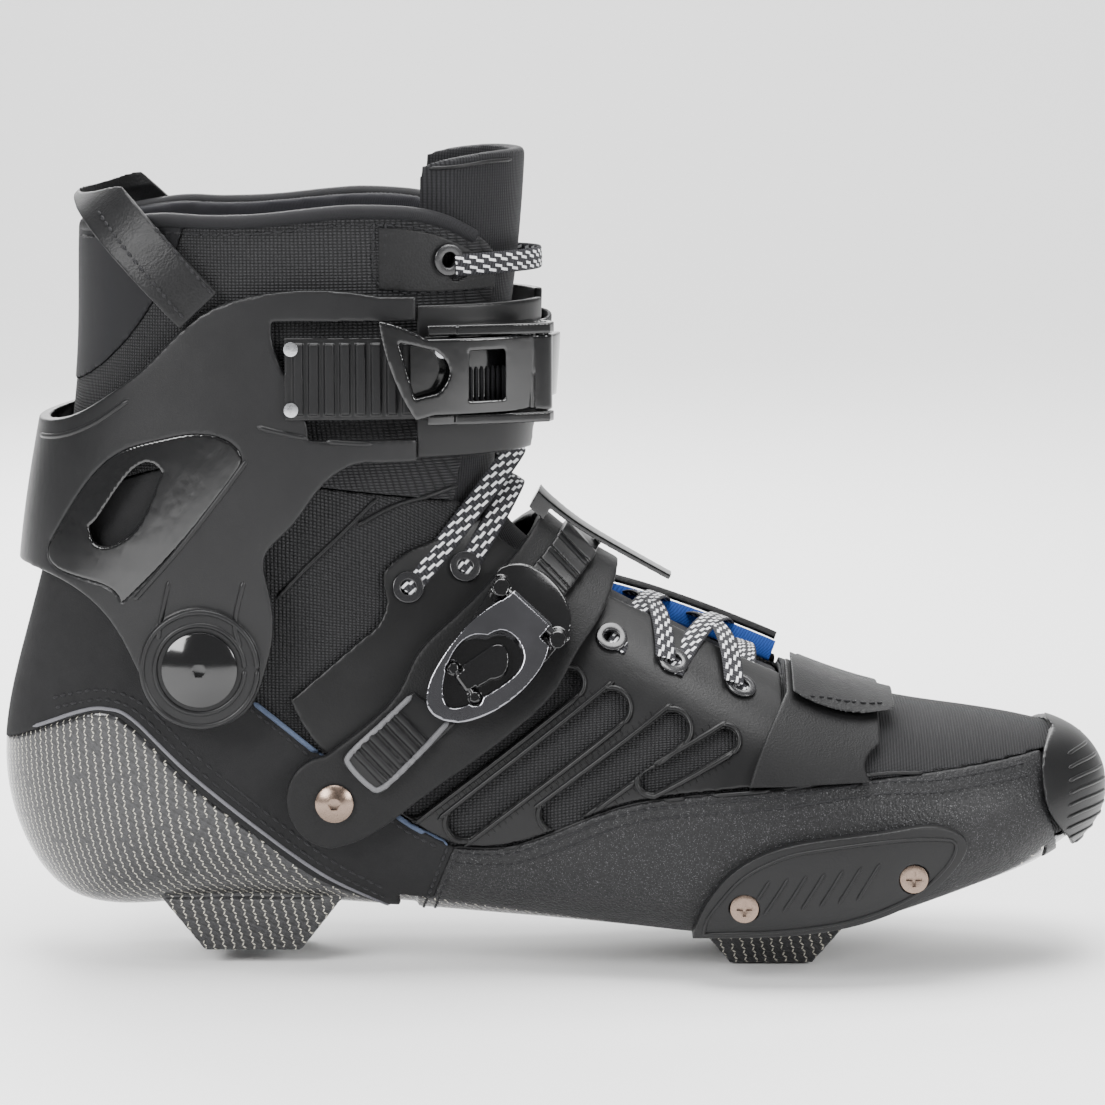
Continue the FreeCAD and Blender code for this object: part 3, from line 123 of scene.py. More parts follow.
class Graph:
    """A material's node tree, with one Principled shader."""

    def __init__(self, name: str) -> None:
        """Starts an empty material of that name."""
        self.material = bpy.data.materials.new(name)
        self.material.use_nodes = True
        self.tree = self.material.node_tree
        self.tree.nodes.clear()
        output = self.tree.nodes.new("ShaderNodeOutputMaterial")
        self.shader = self.tree.nodes.new("ShaderNodeBsdfPrincipled")
        self.tree.links.new(self.shader.outputs[0], output.inputs[0])
        self._object = None

    def node(self, kind: str, settings: dict | None = None, inputs: dict | None = None) -> bpy.types.Node:
        """Adds a node.

        Args:
            kind: the node's type.
            settings: attributes, set first.
            inputs: values or links by socket name or number.

        Returns:
            The node.
        """
        made = self.tree.nodes.new(kind)
        for key, value in (settings or {}).items():
            setattr(made, key, value)
        for key, value in (inputs or {}).items():
            self.put(made.inputs[key], value)
        return made

    def put(self, socket: bpy.types.NodeSocket, value: object) -> None:
        """Sets a socket to a value or links it."""
        if isinstance(value, Number):
            self.tree.links.new(value.socket, socket)
        elif isinstance(value, bpy.types.NodeSocket):
            self.tree.links.new(value, socket)
        else:
            socket.default_value = value

    def math(self, operation: str, *values: object) -> Number:
        """Adds a Math node and returns its result."""
        inputs = dict(enumerate(values))
        return Number(self, self.node("ShaderNodeMath", {"operation": operation}, inputs).outputs[0])

    def place(self) -> bpy.types.NodeSocket:
        """The object coordinates, in metres."""
        if self._object is None:
            self._object = self.node("ShaderNodeTexCoord").outputs["Object"]
        return self._object

    def axes(self, source: bpy.types.NodeSocket | None = None) -> tuple[Number, Number, Number]:
        """The three coordinates as numbers."""
        split = self.node("ShaderNodeSeparateXYZ", None, {0: source or self.place()})
        return tuple(Number(self, split.outputs[i]) for i in range(3))

    def noise(self, scale: float, detail: float = 3.0, rough: float = 0.55) -> Number:
        """Even noise from 0 to 1 on object coordinates."""
        made = self.node("ShaderNodeTexNoise", None,
                         {"Vector": self.place(), "Scale": scale, "Detail": detail, "Roughness": rough})
        return Number(self, made.outputs[0])

    def cells(self, scale: float) -> Number:
        """Distance in a cell pattern on object coordinates."""
        made = self.node("ShaderNodeTexVoronoi", None, {"Vector": self.place(), "Scale": scale})
        return Number(self, made.outputs["Distance"])

    def blend(self, amount: object, low: object, high: tuple) -> bpy.types.NodeSocket:
        """A colour between a colour or a link and a colour."""
        made = self.node("ShaderNodeMix", {"data_type": "RGBA"})
        self.put(made.inputs[0], amount)
        self.put(made.inputs[6], (*low, 1.0) if isinstance(low, tuple) else low)
        self.put(made.inputs[7], (*high, 1.0))
        return made.outputs[2]

    def ramp(self, value: Number, low: float, high: float) -> Number:
        """The value stretched so that low gives 0 and high gives 1, held at both ends."""
        made = self.node("ShaderNodeMapRange", {"clamp": True},
                         {0: value, 1: low, 2: high, 3: 0.0, 4: 1.0})
        return Number(self, made.outputs[0])

    def bump(self, height: Number, depth: float) -> None:
        """Feeds a height field to the shader's normal."""
        made = self.node("ShaderNodeBump", None, {"Strength": 1.0, "Distance": depth})
        self.put(made.inputs["Height"], height)
        self.put(self.shader.inputs["Normal"], made.outputs[0])

    def surface(self, **inputs: object) -> bpy.types.Material:
        """Sets the shader's sockets and returns the material."""
        for key, value in inputs.items():
            name = key.replace("_", " ").title().replace("Ior", "IOR")
            if isinstance(value, tuple) and len(value) == 3:
                value = (*value, 1.0)
            self.put(self.shader.inputs[name], value)
        return self.material


# ---- finishes
@dataclass(frozen=True)
class Finish:
    """A named finish; a subclass says how its material is made."""

    name: str

    def material(self) -> bpy.types.Material:
        """The finish's material, made once."""
        shown = "look_" + self.name
        return bpy.data.materials.get(shown) or self.make(Graph(shown))

    def make(self, graph: Graph) -> bpy.types.Material:
        """Builds the nodes."""
        raise NotImplementedError


@dataclass(frozen=True)
class Moulded(Finish):
    """Moulded plastic or rubber with a fine spark-eroded skin and handling marks."""

    shade: float = 0.009
    rough: float = 0.42
    grain: float = 2600.0
    depth: float = 0.00006

    def make(self, graph: Graph) -> bpy.types.Material:
        """Builds the nodes."""
        fine = graph.noise(self.grain, 2.0)
        broad = graph.noise(38.0, 4.0)
        graph.bump(fine + broad * 0.35, self.depth * 0.6)
        low, high = self.shade * 0.75, self.shade * 1.35
        return graph.surface(base_color=graph.blend(broad, (low, low, low * 1.05), (high, high, high * 1.05)),
                             roughness=self.rough - 0.07 + broad * 0.14, specular_ior_level=0.26)


@dataclass(frozen=True)
class Gloss(Finish):
    """Polished black plastic with faint smears."""

    shade: float = 0.006
    rough: float = 0.09
    metal: float = 0.0

    def make(self, graph: Graph) -> bpy.types.Material:
        """Builds the nodes."""
        smear = graph.noise(60.0, 5.0, 0.65)
        graph.bump(graph.noise(160.0, 2.0), 0.00003)
        tint = (self.shade, self.shade, self.shade * 1.08)
        return graph.surface(base_color=graph.blend(smear, tint, tuple(c * 1.7 for c in tint)),
                             roughness=graph.ramp(smear, 0.3, 0.9) * 0.10 + self.rough,
                             metallic=self.metal, coat_weight=0.35, coat_roughness=0.04)


@dataclass(frozen=True)
class Metal(Finish):
    """Plated metal with fine scratches."""

    tint: tuple[float, float, float] = (0.27, 0.20, 0.16)
    rough: float = 0.28

    def make(self, graph: Graph) -> bpy.types.Material:
        """Builds the nodes."""
        wear = graph.noise(900.0, 4.0)
        graph.bump(wear, 0.00004)
        dark = tuple(c * 0.72 for c in self.tint)
        return graph.surface(base_color=graph.blend(wear, dark, self.tint), metallic=1.0,
                             roughness=wear * 0.2 + (self.rough - 0.1))


@dataclass(frozen=True)
class Leather(Finish):
    """Black leather: grain cells, creases and, on the rand, tiny smoother facets lightened in colour as a
    painted glint.
    """

    shade: float = 0.009
    rough: float = 0.5
    grain: float = 1500.0
    depth: float = 0.00012
    painted_glint: float = 0.0

    def make(self, graph: Graph) -> bpy.types.Material:
        """Builds the nodes."""
        cells = graph.cells(self.grain)
        crease = graph.noise(210.0, 5.0, 0.6)
        broad = graph.noise(30.0, 3.0)
        graph.bump(cells * 0.8 + crease * 0.9, self.depth)
        low, high = self.shade * 0.6, self.shade * 1.5
        colour = graph.blend(broad * 0.5 + cells * 0.6, (low, low, low * 1.05), (high, high, high * 1.05))
        roughness = self.rough - 0.1 + crease * 0.2
        if self.painted_glint:
            # Flecks: tiny facets, smoother, and lightened in colour as a painted glint.
            fleck = graph.noise(3400.0, 0.0) > 0.72
            colour = graph.blend(fleck * self.painted_glint, colour, (0.10, 0.10, 0.105))
            roughness = roughness - fleck * 0.2
        return graph.surface(base_color=colour, roughness=roughness, specular_ior_level=0.2)


class Turn(Enum):
    """Which way a cloth's threads run round the boot."""

    OVER = 0      # from side to side over the foot
    BEHIND = 1    # round the heel
    FRONT = -1    # round the shin


@dataclass(frozen=True)
class Cloth(Finish):
    """Woven or knitted cloth: crossed ribs of two pitches on the surface."""

    shade: tuple[float, float, float] = (0.0075, 0.0075, 0.0085)
    pitch: float = 1.6 * MM
    depth: float = 0.00032
    open_weave: bool = True
    rough: float = 0.8
    sheen: float = 0.02
    turn: Turn = Turn.OVER

    def make(self, graph: Graph) -> bpy.types.Material:
        """Builds the nodes."""
        x, y, z = graph.axes()
        beside = y.size()
        wobble = graph.noise(70.0, 2.0) * 0.0004
        around = x if self.turn is Turn.OVER else x + beside * self.turn.value
        upward = beside - z if self.turn is Turn.OVER else z
        across = (around + wobble) * (math.tau / self.pitch)
        along = (upward + wobble) * (math.tau / self.pitch)
        if self.open_weave:
            height = graph.math("POWER", (across.wave() * (along * 1.25).wave()).size(), 0.6)
        else:
            height = (across * 0.5).wave().size() * ((along * 0.8).wave().size() * 0.35 + 0.65)
        fuzz = graph.noise(2400.0, 2.0)
        graph.bump(height + fuzz * 0.25, self.depth)
        # Colour darker in the weave's hollows and gaps as painted shade and lighter on the thread tops as
        # painted highlight; the fuzz adds random tone.
        dark = tuple(c * 0.35 for c in self.shade)
        bright = tuple(c * 2.1 for c in self.shade)
        return graph.surface(base_color=graph.blend(height * 0.75 + fuzz * 0.25, dark, bright),
                             roughness=self.rough - height * 0.18, sheen_weight=self.sheen,
                             sheen_roughness=0.5, specular_ior_level=0.16)


@dataclass(frozen=True)
class CarbonWeave(Finish):
    """Clear-coated twill with columns of pale zigzag threads."""

    column: float = 2.9 * MM
    step: float = 2.3 * MM

    def make(self, graph: Graph) -> bpy.types.Material:
        """Builds the nodes."""
        x, y, z = graph.axes()
        u = x + y.size()
        v = z - x * 0.35
        twill = ((u + v) * (math.tau / (1.7 * MM))).wave()
        tow = math.tau / (3.4 * MM)
        tow = (u * tow).wave() * (v * tow).wave()
        saw = graph.math("PINGPONG", v, self.step / 2) * 0.62
        lane = graph.math("FRACT", (u + saw + graph.noise(90.0, 2.0) * 0.0012) * (1 / self.column))
        beat = graph.math("FRACT", v * (2 / self.step))
        thread = (lane < 0.16) * (beat < 0.72)
        keep = graph.noise(240.0, 1.0) > 0.34
        mask = thread * keep
        weave = twill * 0.3 + tow * 0.5 + 0.5
        # The ground is darker in the weave's hollows as painted shade and lighter on the tows' crests as
        # painted highlight; the pale zigzag threads are the weave's own colour.
        ground = graph.blend(weave, (0.002, 0.002, 0.0025), (0.022, 0.022, 0.024))
        graph.bump(weave * 0.5 + mask, 0.00012)
        return graph.surface(base_color=graph.blend(mask, ground, (0.42, 0.40, 0.34)),
                             roughness=0.36 - weave * 0.12, specular_ior_level=0.3,
                             coat_weight=0.6, coat_roughness=0.09)


@dataclass(frozen=True)
class LaceWeave(Finish):
    """Flat lace with two staggered columns of pale dashes, on the piece's own map."""

    dash: float = 4.4 * MM

    def make(self, graph: Graph) -> bpy.types.Material:
        """Builds the nodes."""
        u, v, _ = graph.axes(graph.node("ShaderNodeTexCoord").outputs["UV"])
        rib = ((u * (1 / (1.1 * MM)) + v * 2.2) * math.pi).wave().size()
        lanes = None
        for centre, offset in ((0.18, 0.0), (0.36, 0.5), (0.64, 0.0), (0.82, 0.5)):
            beat = graph.math("FRACT", u * (1 / self.dash) + offset)
            near = (v - centre - (beat - 0.28) * 0.12).size() < 0.062
            lane = near * (beat < 0.56)
            lanes = lane if lanes is None else graph.math("MAXIMUM", lanes, lane)
        graph.bump(rib * 0.6 + lanes, 0.00022)
        # The ground is darker between the ribs as painted shade and lighter on their crests as painted
        # highlight; the pale dashes are the lace's own print.
        ground = graph.blend(rib, (0.006, 0.006, 0.007), (0.03, 0.03, 0.034))
        return graph.surface(base_color=graph.blend(lanes, ground, (0.66, 0.66, 0.68)),
                             roughness=0.78, specular_ior_level=0.2)


@dataclass(frozen=True)
class Floor(Finish):
    """Pale paper floor."""

    def make(self, graph: Graph) -> bpy.types.Material:
        """Builds the nodes."""
        soft = graph.noise(3.0, 2.0)
        return graph.surface(base_color=graph.blend(soft, (0.93, 0.93, 0.93), (0.95, 0.95, 0.95)),
                             roughness=0.9)


class Look(Enum):
    """The boot's finishes."""

    CARBON = CarbonWeave("carbon_weave")
    NUBUCK = Leather("sanded_nubuck", shade=0.010, rough=0.82, grain=3200.0, depth=0.00008)
    RAND = Leather("glitter_grain_leather", shade=0.011, rough=0.46, grain=1150.0, depth=0.00016,
                   painted_glint=0.8)
    SMOOTH = Leather("smooth_leather", shade=0.009, rough=0.40, grain=1500.0, depth=0.00008)
    STRAP = Leather("padded_strap_leather", shade=0.006, rough=0.52, grain=1900.0, depth=0.00008)
    MESH = Cloth("coarse_mesh", pitch=2.2 * MM, depth=0.0006, shade=(0.017, 0.017, 0.018))
    SHAFT_MESH = Cloth("shaft_mesh", turn=Turn.BEHIND, pitch=2.2 * MM, depth=0.0006,
                       shade=(0.017, 0.017, 0.018))
    FINE_MESH = Cloth("fine_mesh", pitch=1.7 * MM, depth=0.0004, shade=(0.014, 0.014, 0.015))
    KNIT = Cloth("rib_knit", turn=Turn.FRONT, pitch=1.3 * MM, depth=0.00018, open_weave=False,
                 shade=(0.009, 0.009, 0.010))
    NEOPRENE = Cloth("stretch_cloth", turn=Turn.BEHIND, pitch=0.7 * MM, depth=0.00006,
                     shade=(0.008, 0.008, 0.009), rough=0.7)
    LINING = Cloth("dark_lining", turn=Turn.BEHIND, pitch=0.8 * MM, depth=0.0001,
                   shade=(0.010, 0.010, 0.012), rough=0.9)
    BLUE = Cloth("blue_lining", pitch=0.8 * MM, depth=0.0001, shade=(0.005, 0.026, 0.13), rough=0.9)
    VELVET = Cloth("velvet_pile", pitch=0.55 * MM, depth=0.00012, shade=(0.016, 0.016, 0.017), sheen=0.15)
    WEBBING = Cloth("strap_webbing", pitch=1.2 * MM, depth=0.0002, open_weave=False)
    CUFF = Moulded("cuff_plastic", shade=0.010, rough=0.33)
    SOFT = Moulded("soft_front_plastic", shade=0.008, rough=0.36, grain=3200.0, depth=0.00003)
    TPU = Moulded("eyestay_plastic", shade=0.006, rough=0.38, grain=1700.0, depth=0.00007)
    LADDER = Moulded("toothed_strap_plastic", shade=0.008, rough=0.30, depth=0.00002)
    RUBBER = Moulded("toe_rubber", shade=0.006, rough=0.40, grain=1900.0, depth=0.00005)
    SLIDER = Moulded("slider_plastic", shade=0.007, rough=0.46, grain=1500.0, depth=0.0001)
    GREY_RIM = Moulded("grey_rim_plastic", shade=0.10, rough=0.45)
    GLOSS = Gloss("gloss_black", shade=0.003)
    CHROME_BLACK = Gloss("lacquered_black_metal", shade=0.16, rough=0.10, metal=1.0)
    BRONZE = Metal("bronze_screw")
    STEEL = Metal("zinc_steel", tint=(0.55, 0.56, 0.58))
    BLACK_METAL = Gloss("black_lacquer", shade=0.010, rough=0.18)
    THREAD = Cloth("sewing_thread", pitch=0.5 * MM, depth=0.00004, shade=(0.012, 0.012, 0.013), rough=0.5)
    GREY_THREAD = Cloth("grey_thread", pitch=0.5 * MM, depth=0.00004, shade=(0.10, 0.10, 0.11), rough=0.6)
    PIPING = Cloth("blue_grey_piping", pitch=0.5 * MM, depth=0.00004, shade=(0.045, 0.060, 0.095), rough=0.6)
    LACE = LaceWeave("flecked_lace")
    PAPER = Floor("paper_floor")


# ---- modelling tools
def only(piece: bpy.types.Object) -> None:
    """Selects one object and makes it active."""
    bpy.ops.object.select_all(action="DESELECT")
    piece.select_set(True)
    bpy.context.view_layer.objects.active = piece


def modify(piece: bpy.types.Object, kind: str, **settings: object) -> None:
    """Adds a modifier, sets it and applies it."""
    only(piece)
    made = piece.modifiers.new(kind.lower(), kind)
    for key, value in settings.items():
        setattr(made, key, value)
    bpy.ops.object.modifier_apply(modifier=made.name)


def smooth(piece: bpy.types.Object, angle: float = 40.0) -> None:
    """Shades a piece smooth up to an angle in degrees."""
    only(piece)
    bpy.ops.object.shade_smooth_by_angle(angle=math.radians(angle))


def new_mesh(name: str, points: list, faces: list) -> bpy.types.Object:
    """A mesh object from points in metres."""
    data = bpy.data.meshes.new(name)
    data.from_pydata([tuple(p) for p in points], [], faces)
    data.update()
    piece = bpy.data.objects.new(name, data)
    bpy.context.scene.collection.objects.link(piece)
    return piece


def finish_piece(piece: bpy.types.Object, look: Look, body: str) -> bpy.types.Object:
    """Gives a piece its material, body and material slot.

    Args:
        piece: the piece.
        look: its finish.
        body: the CAD body that it rides on.

    Returns:
        The piece.
    """
    piece.data.materials.clear()
    piece.data.materials.append(look.value.material())
    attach(piece, body)
    LOG.info("%s: %d faces", piece.name, len(piece.data.polygons))
    return piece


def copy_node(node: str, name: str) -> bpy.types.Object:
    """A merged copy of a CAD node's mesh, free of its body."""
    source = frame["nodes"][node]
    piece = bpy.data.objects.new(name, source.data.copy())
    bpy.context.scene.collection.objects.link(piece)
    only(piece)
    bpy.ops.object.mode_set(mode="EDIT")
    bpy.ops.mesh.select_all(action="SELECT")
    bpy.ops.mesh.remove_doubles(threshold=MERGE)
    bpy.ops.object.mode_set(mode="OBJECT")
    return piece


@dataclass
class Remoulded:
    """A piece that stands for a CAD node with its corners rounded."""

    node: str
    look: Look
    voxel: float = 0.7
    rounds: int = 4
    swell: float = 0.0
    keep: float = 1.0
    padded: float = 0.0
    blended: bool = False

    def build(self) -> bpy.types.Object:
        """Remeshes, relaxes and dresses the node's shape."""
        piece = copy_node(self.node, self.node + "_shown")
        modify(piece, "REMESH", mode="VOXEL", voxel_size=self.voxel * MM, use_smooth_shade=True)
        if self.rounds:
            modify(piece, "SMOOTH", factor=0.5, iterations=self.rounds)
        if self.swell:
            modify(piece, "DISPLACE", strength=self.swell * MM, mid_level=0.0)
        if self.keep < 1.0:
            modify(piece, "DECIMATE", ratio=self.keep)
        smooth(piece, 60.0)
        return self.dress(piece)

    def dress(self, piece: bpy.types.Object) -> bpy.types.Object:
        """Gives the finish and slot, the body unless blended, and hides the node it stands for."""
        record = frame["record"]
        body = next(b for b, nodes in record["behaviour"]["bodies"].items() if self.node in nodes)
        piece.data.materials.clear()
        piece.data.materials.append(self.look.value.material())
        if self.blended:
            flex(piece)
        else:
            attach(piece, body)
        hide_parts(self.node)
        LOG.info("%s: %d faces", piece.name, len(piece.data.polygons))
        return piece


def flex(piece: bpy.types.Object) -> None:
    """Bakes a soft piece's placement into its mesh and leaves it on no body."""
    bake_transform(piece)


def build_each(*pieces: Remoulded) -> None:
    """Builds some pieces in turn."""
    for piece in pieces:
        piece.build()


@dataclass
class Bevelled(Remoulded):
    """A piece that keeps a CAD node's crisp faces and only breaks its edges."""

    width: float = 0.35
    segments: int = 2

    def build(self) -> bpy.types.Object:
        """Bevels and dresses the node's shape."""
        piece = copy_node(self.node, self.node + "_shown")
        modify(piece, "BEVEL", width=self.width * MM, segments=self.segments, limit_method="ANGLE",
               angle_limit=math.radians(38), use_clamp_overlap=True)
        smooth(piece, 35.0)
        return self.dress(piece)


class Skin:
    """The outside of some CAD nodes, to lay seams and cords on."""

    def __init__(self, *nodes: str) -> None:
        """Gathers the nodes' triangles in one tree."""
        points, faces = [], []
        for node in nodes:
            data = frame["nodes"][node].data
            base = len(points)
            points += [v.co.copy() for v in data.vertices]
            faces += [tuple(base + i for i in p.vertices) for p in data.polygons]
        self.tree = BVHTree.FromPolygons(points, faces)

    def at(self, x: float, z: float, side: int) -> tuple[Vector, Vector] | None:
        """Where a line along Y meets the outside.

        Args:
            x: place along the boot, in millimetres.
            z: height, in millimetres.
            side: -1 for the lateral side, 1 for the medial one.

        Returns:
            The point and the outward normal, or None beside the boot.
        """
        origin = Vector((x * MM, side * BESIDE, z * MM))
        hit, normal, _, _ = self.tree.ray_cast(origin, Vector((0, -side, 0)))
        if hit is None:
            return None
        if normal.y * side < 0:
            normal = -normal
        return hit, normal

    def nearest(self, point: Vector) -> tuple[Vector, Vector]:
        """The nearest point of the outside and the normal there."""
        return self.tree.find_nearest(point)[:2]

    def drape(self, path: list, side: int, step: float = 0.8) -> list:
        """Points and normals along a smooth path drawn in the XZ plane, in millimetres."""
        laid = []
        for x, z in smooth_path(path, step):
            found = self.at(x, z, side)
            if found:
                laid.append(found)
        return laid

    def trace(self, path: list, sides: tuple = BOTH, step: float = 0.8, gap: float = 4.0) -> list:
        """A path's draped lines on some sides, split wherever they jump by more than a gap."""
        return [part for side in sides for part in unbroken(self.drape(path, side, step), gap)]


def unbroken(laid: list, gap: float) -> list:
    """Splits draped points wherever two neighbours are far apart, in millimetres."""
    parts, current = [], laid[:1]
    for before, after in zip(laid, laid[1:]):
        if (after[0] - before[0]).length > gap * MM:
            parts.append(current)
            current = []
        current.append(after)
    parts.append(current)
    return [part for part in parts if len(part) > 2]


def smooth_path(path: list, step: float) -> list:
    """Evenly spaced points of a smooth curve through a path's points.

    Args:
        path: points of two or three coordinates.
        step: spacing, in the path's unit.

    Returns:
        The points as tuples.
    """
    pts = [Vector(p) for p in path]
    ends = [pts[0] * 2 - pts[1]] + pts + [pts[-1] * 2 - pts[-2]]
    dense = []
    for a, b, c, d in zip(ends, ends[1:], ends[2:], ends[3:]):
        for k in range(CURVE_STEPS):
            t = k / CURVE_STEPS
            dense.append(0.5 * (2 * b + (c - a) * t + (2 * a - 5 * b + 4 * c - d) * t * t
                                + (3 * b - a - 3 * c + d) * t ** 3))
    dense.append(pts[-1])
    spaced, carried = [dense[0]], 0.0
    for a, b in zip(dense, dense[1:]):
        carried += (b - a).length
        if carried >= step:
            spaced.append(b)
            carried = 0.0
    return [tuple(p) for p in spaced]


def aside(line: list, i: int) -> Vector:
    """The direction across a line of points and normals at its i-th point."""
    ahead = line[min(i + 1, len(line) - 1)][0] - line[max(i - 1, 0)][0]
    return ahead.cross(line[i][1]).normalized()


def ribbon(name: str, line: list, width: float, thick: float, lift: float = 0.0) -> bpy.types.Object:
    """A flat band with soft edges along points and normals, with its own map in metres.

    Args:
        name: the piece's name.
        line: (point, outward normal) pairs.
        width: the band's width, in millimetres.
        thick: its thickness, in millimetres.
        lift: how far its middle stands off the points, in millimetres.

    Returns:
        The band.
    """
    profile = []
    for k in range(12):
        angle = math.tau * k / 12
        across = math.copysign(abs(math.cos(angle)) ** 0.35, math.cos(angle)) * width / 2
        profile.append((across * MM, math.sin(angle) * thick / 2 * MM))
    points, faces, maps = [], [], []
    travelled = 0.0
    for i, (point, normal) in enumerate(line):
        side = aside(line, i)
        if i:
            travelled += (point - line[i - 1][0]).length
        for across, up in profile:
            points.append(point + side * across + normal * (up + lift * MM))
            maps.append((travelled, across / (width * MM) + 0.5))
    count = len(profile)
    for i in range(len(line) - 1):
        for k in range(count):
            n = (k + 1) % count
            faces.append((i * count + k, i * count + n, (i + 1) * count + n, (i + 1) * count + k))
    faces.append(tuple(range(count)))
    faces.append(tuple(reversed(range((len(line) - 1) * count, len(line) * count))))
    piece = new_mesh(name, points, faces)
    layer = piece.data.uv_layers.new(name="lace")
    for loop in piece.data.loops:
        layer.data[loop.index].uv = maps[loop.vertex_index]
    return close(piece)


def close(piece: bpy.types.Object) -> bpy.types.Object:
    """Turns a closed mesh's faces outwards and shades it smooth."""
    only(piece)
    bpy.ops.object.mode_set(mode="EDIT")
    bpy.ops.mesh.select_all(action="SELECT")
    bpy.ops.mesh.normals_make_consistent(inside=False)
    bpy.ops.object.mode_set(mode="OBJECT")
    smooth(piece, 50.0)
    return piece


def tubes(name: str, lines: list, radius: float, lift: float = 0.0, sides: int = 8,
          flat: float = 1.0) -> bpy.types.Object:
    """Round beads along several lines of points and normals, as one piece.

    Args:
        name: the piece's name.
        lines: lists of (point, outward normal).
        radius: in millimetres.
        lift: how far the middle stands off the points, in millimetres.
        sides: corners of the section.
        flat: height of the section over its width.

    Returns:
        The piece.
    """
    points, faces = [], []
    for line in lines:
        base = len(points)
        for i, (point, normal) in enumerate(line):
            side = aside(line, i)
            narrow = 0.35 if i in (0, len(line) - 1) else 1.0
            for k in range(sides):
                angle = math.tau * k / sides
                points.append(point + side * (math.cos(angle) * radius * narrow * MM)
                              + normal * ((math.sin(angle) * radius * narrow * flat + lift) * MM))
        for i in range(len(line) - 1):
            for k in range(sides):
                n = (k + 1) % sides
                a = base + i * sides
                faces.append((a + k, a + n, a + sides + n, a + sides + k))
        faces.append(tuple(base + k for k in range(sides)))
        end = base + (len(line) - 1) * sides
        faces.append(tuple(end + k for k in reversed(range(sides))))
    return close(new_mesh(name, points, faces))


def laid_sheet(name: str, upper: list, lower: list, skin: Skin, side: int, lift: float, thick: float,
               hole: tuple = ()) -> bpy.types.Object:
    """A thin sheet laid over a skin between two lines.

    Args:
        name: the piece's name.
        upper: (x, z) points of one edge, in millimetres.
        lower: points of the other edge, run the same way.
        skin: what it lies on.
        side: -1 for the lateral side, 1 for the medial one.
        lift: how far it stands off the skin, in millimetres.
        thick: its thickness, in millimetres.
        hole: x, z and radius of a hole in it, in millimetres.

    Returns:
        The sheet.
    """
    count, rows = 60, 24
    edges = [smooth_path(line, 0.2) for line in (upper, lower)]
    points, index, faces = [], {}, []
    for i in range(count + 1):
        a, b = (Vector(line[round(i / count * (len(line) - 1))]) for line in edges)
        for k in range(rows + 1):
            x, z = a.lerp(b, k / rows)
            found = skin.at(x, z, side)
            if found and not (hole and math.hypot(x - hole[0], z - hole[1]) < hole[2]):
                index[i, k] = len(points)
                points.append(found[0] + found[1] * (lift * MM))
    for i in range(count):
        for k in range(rows):
            corners = [(i, k), (i, k + 1), (i + 1, k + 1), (i + 1, k)]
            if all(c in index for c in corners):
                faces.append([index[c] for c in corners])
    piece = new_mesh(name, points, faces)
    modify(piece, "SOLIDIFY", thickness=thick * MM, offset=0.0)
    modify(piece, "BEVEL", width=thick * 0.3 * MM, segments=2, limit_method="ANGLE",
           angle_limit=math.radians(50))
    return close(piece)


@dataclass
class Seam:
    """A row of stitches drawn over the boot's side."""

    name: str
    path: list
    body: str = "boot"
    slot: str = "leather"
    look: Look = Look.THREAD
    pitch: float = 2.5
    length: float = 1.7
    thick: float = 0.48
    sides: tuple = (LATERAL,)
    rows: tuple = (0.0,)

    def build(self, skin: Skin) -> None:
        """Lays the stitches and dresses them."""
        lines = []
        for side in self.sides:
            for row in self.rows:
                laid = skin.drape(offset_path(self.path, row), side, 0.25)
                travelled = 0.0
                start = 0
                for i in range(1, len(laid)):
                    gap = (laid[i][0] - laid[i - 1][0]).length / MM
                    travelled += gap
                    if gap > SEAM_BREAK:
                        start, travelled = i, 0.0
                    elif travelled >= self.length and start is not None:
                        lines.append(laid[start:i + 1:2] if i - start > 3 else laid[start:i + 1])
                        start = None
                    if start is None and travelled >= self.pitch:
                        start, travelled = i, 0.0
        lines = [line for line in lines if len(line) > 1]
        piece = tubes(self.name, lines, self.thick, 0.2, 6, 0.8)
        finish_piece(piece, self.look, self.body)


def offset_path(path: list, shift: float) -> list:
    """A path moved sideways in its plane, to the left of its run."""
    if not shift:
        return path
    moved = []
    for i, point in enumerate(path):
        ahead = Vector(path[min(i + 1, len(path) - 1)]) - Vector(path[max(i - 1, 0)])
        ahead.normalize()
        moved.append((point[0] - ahead.y * shift, point[1] + ahead.x * shift))
    return moved


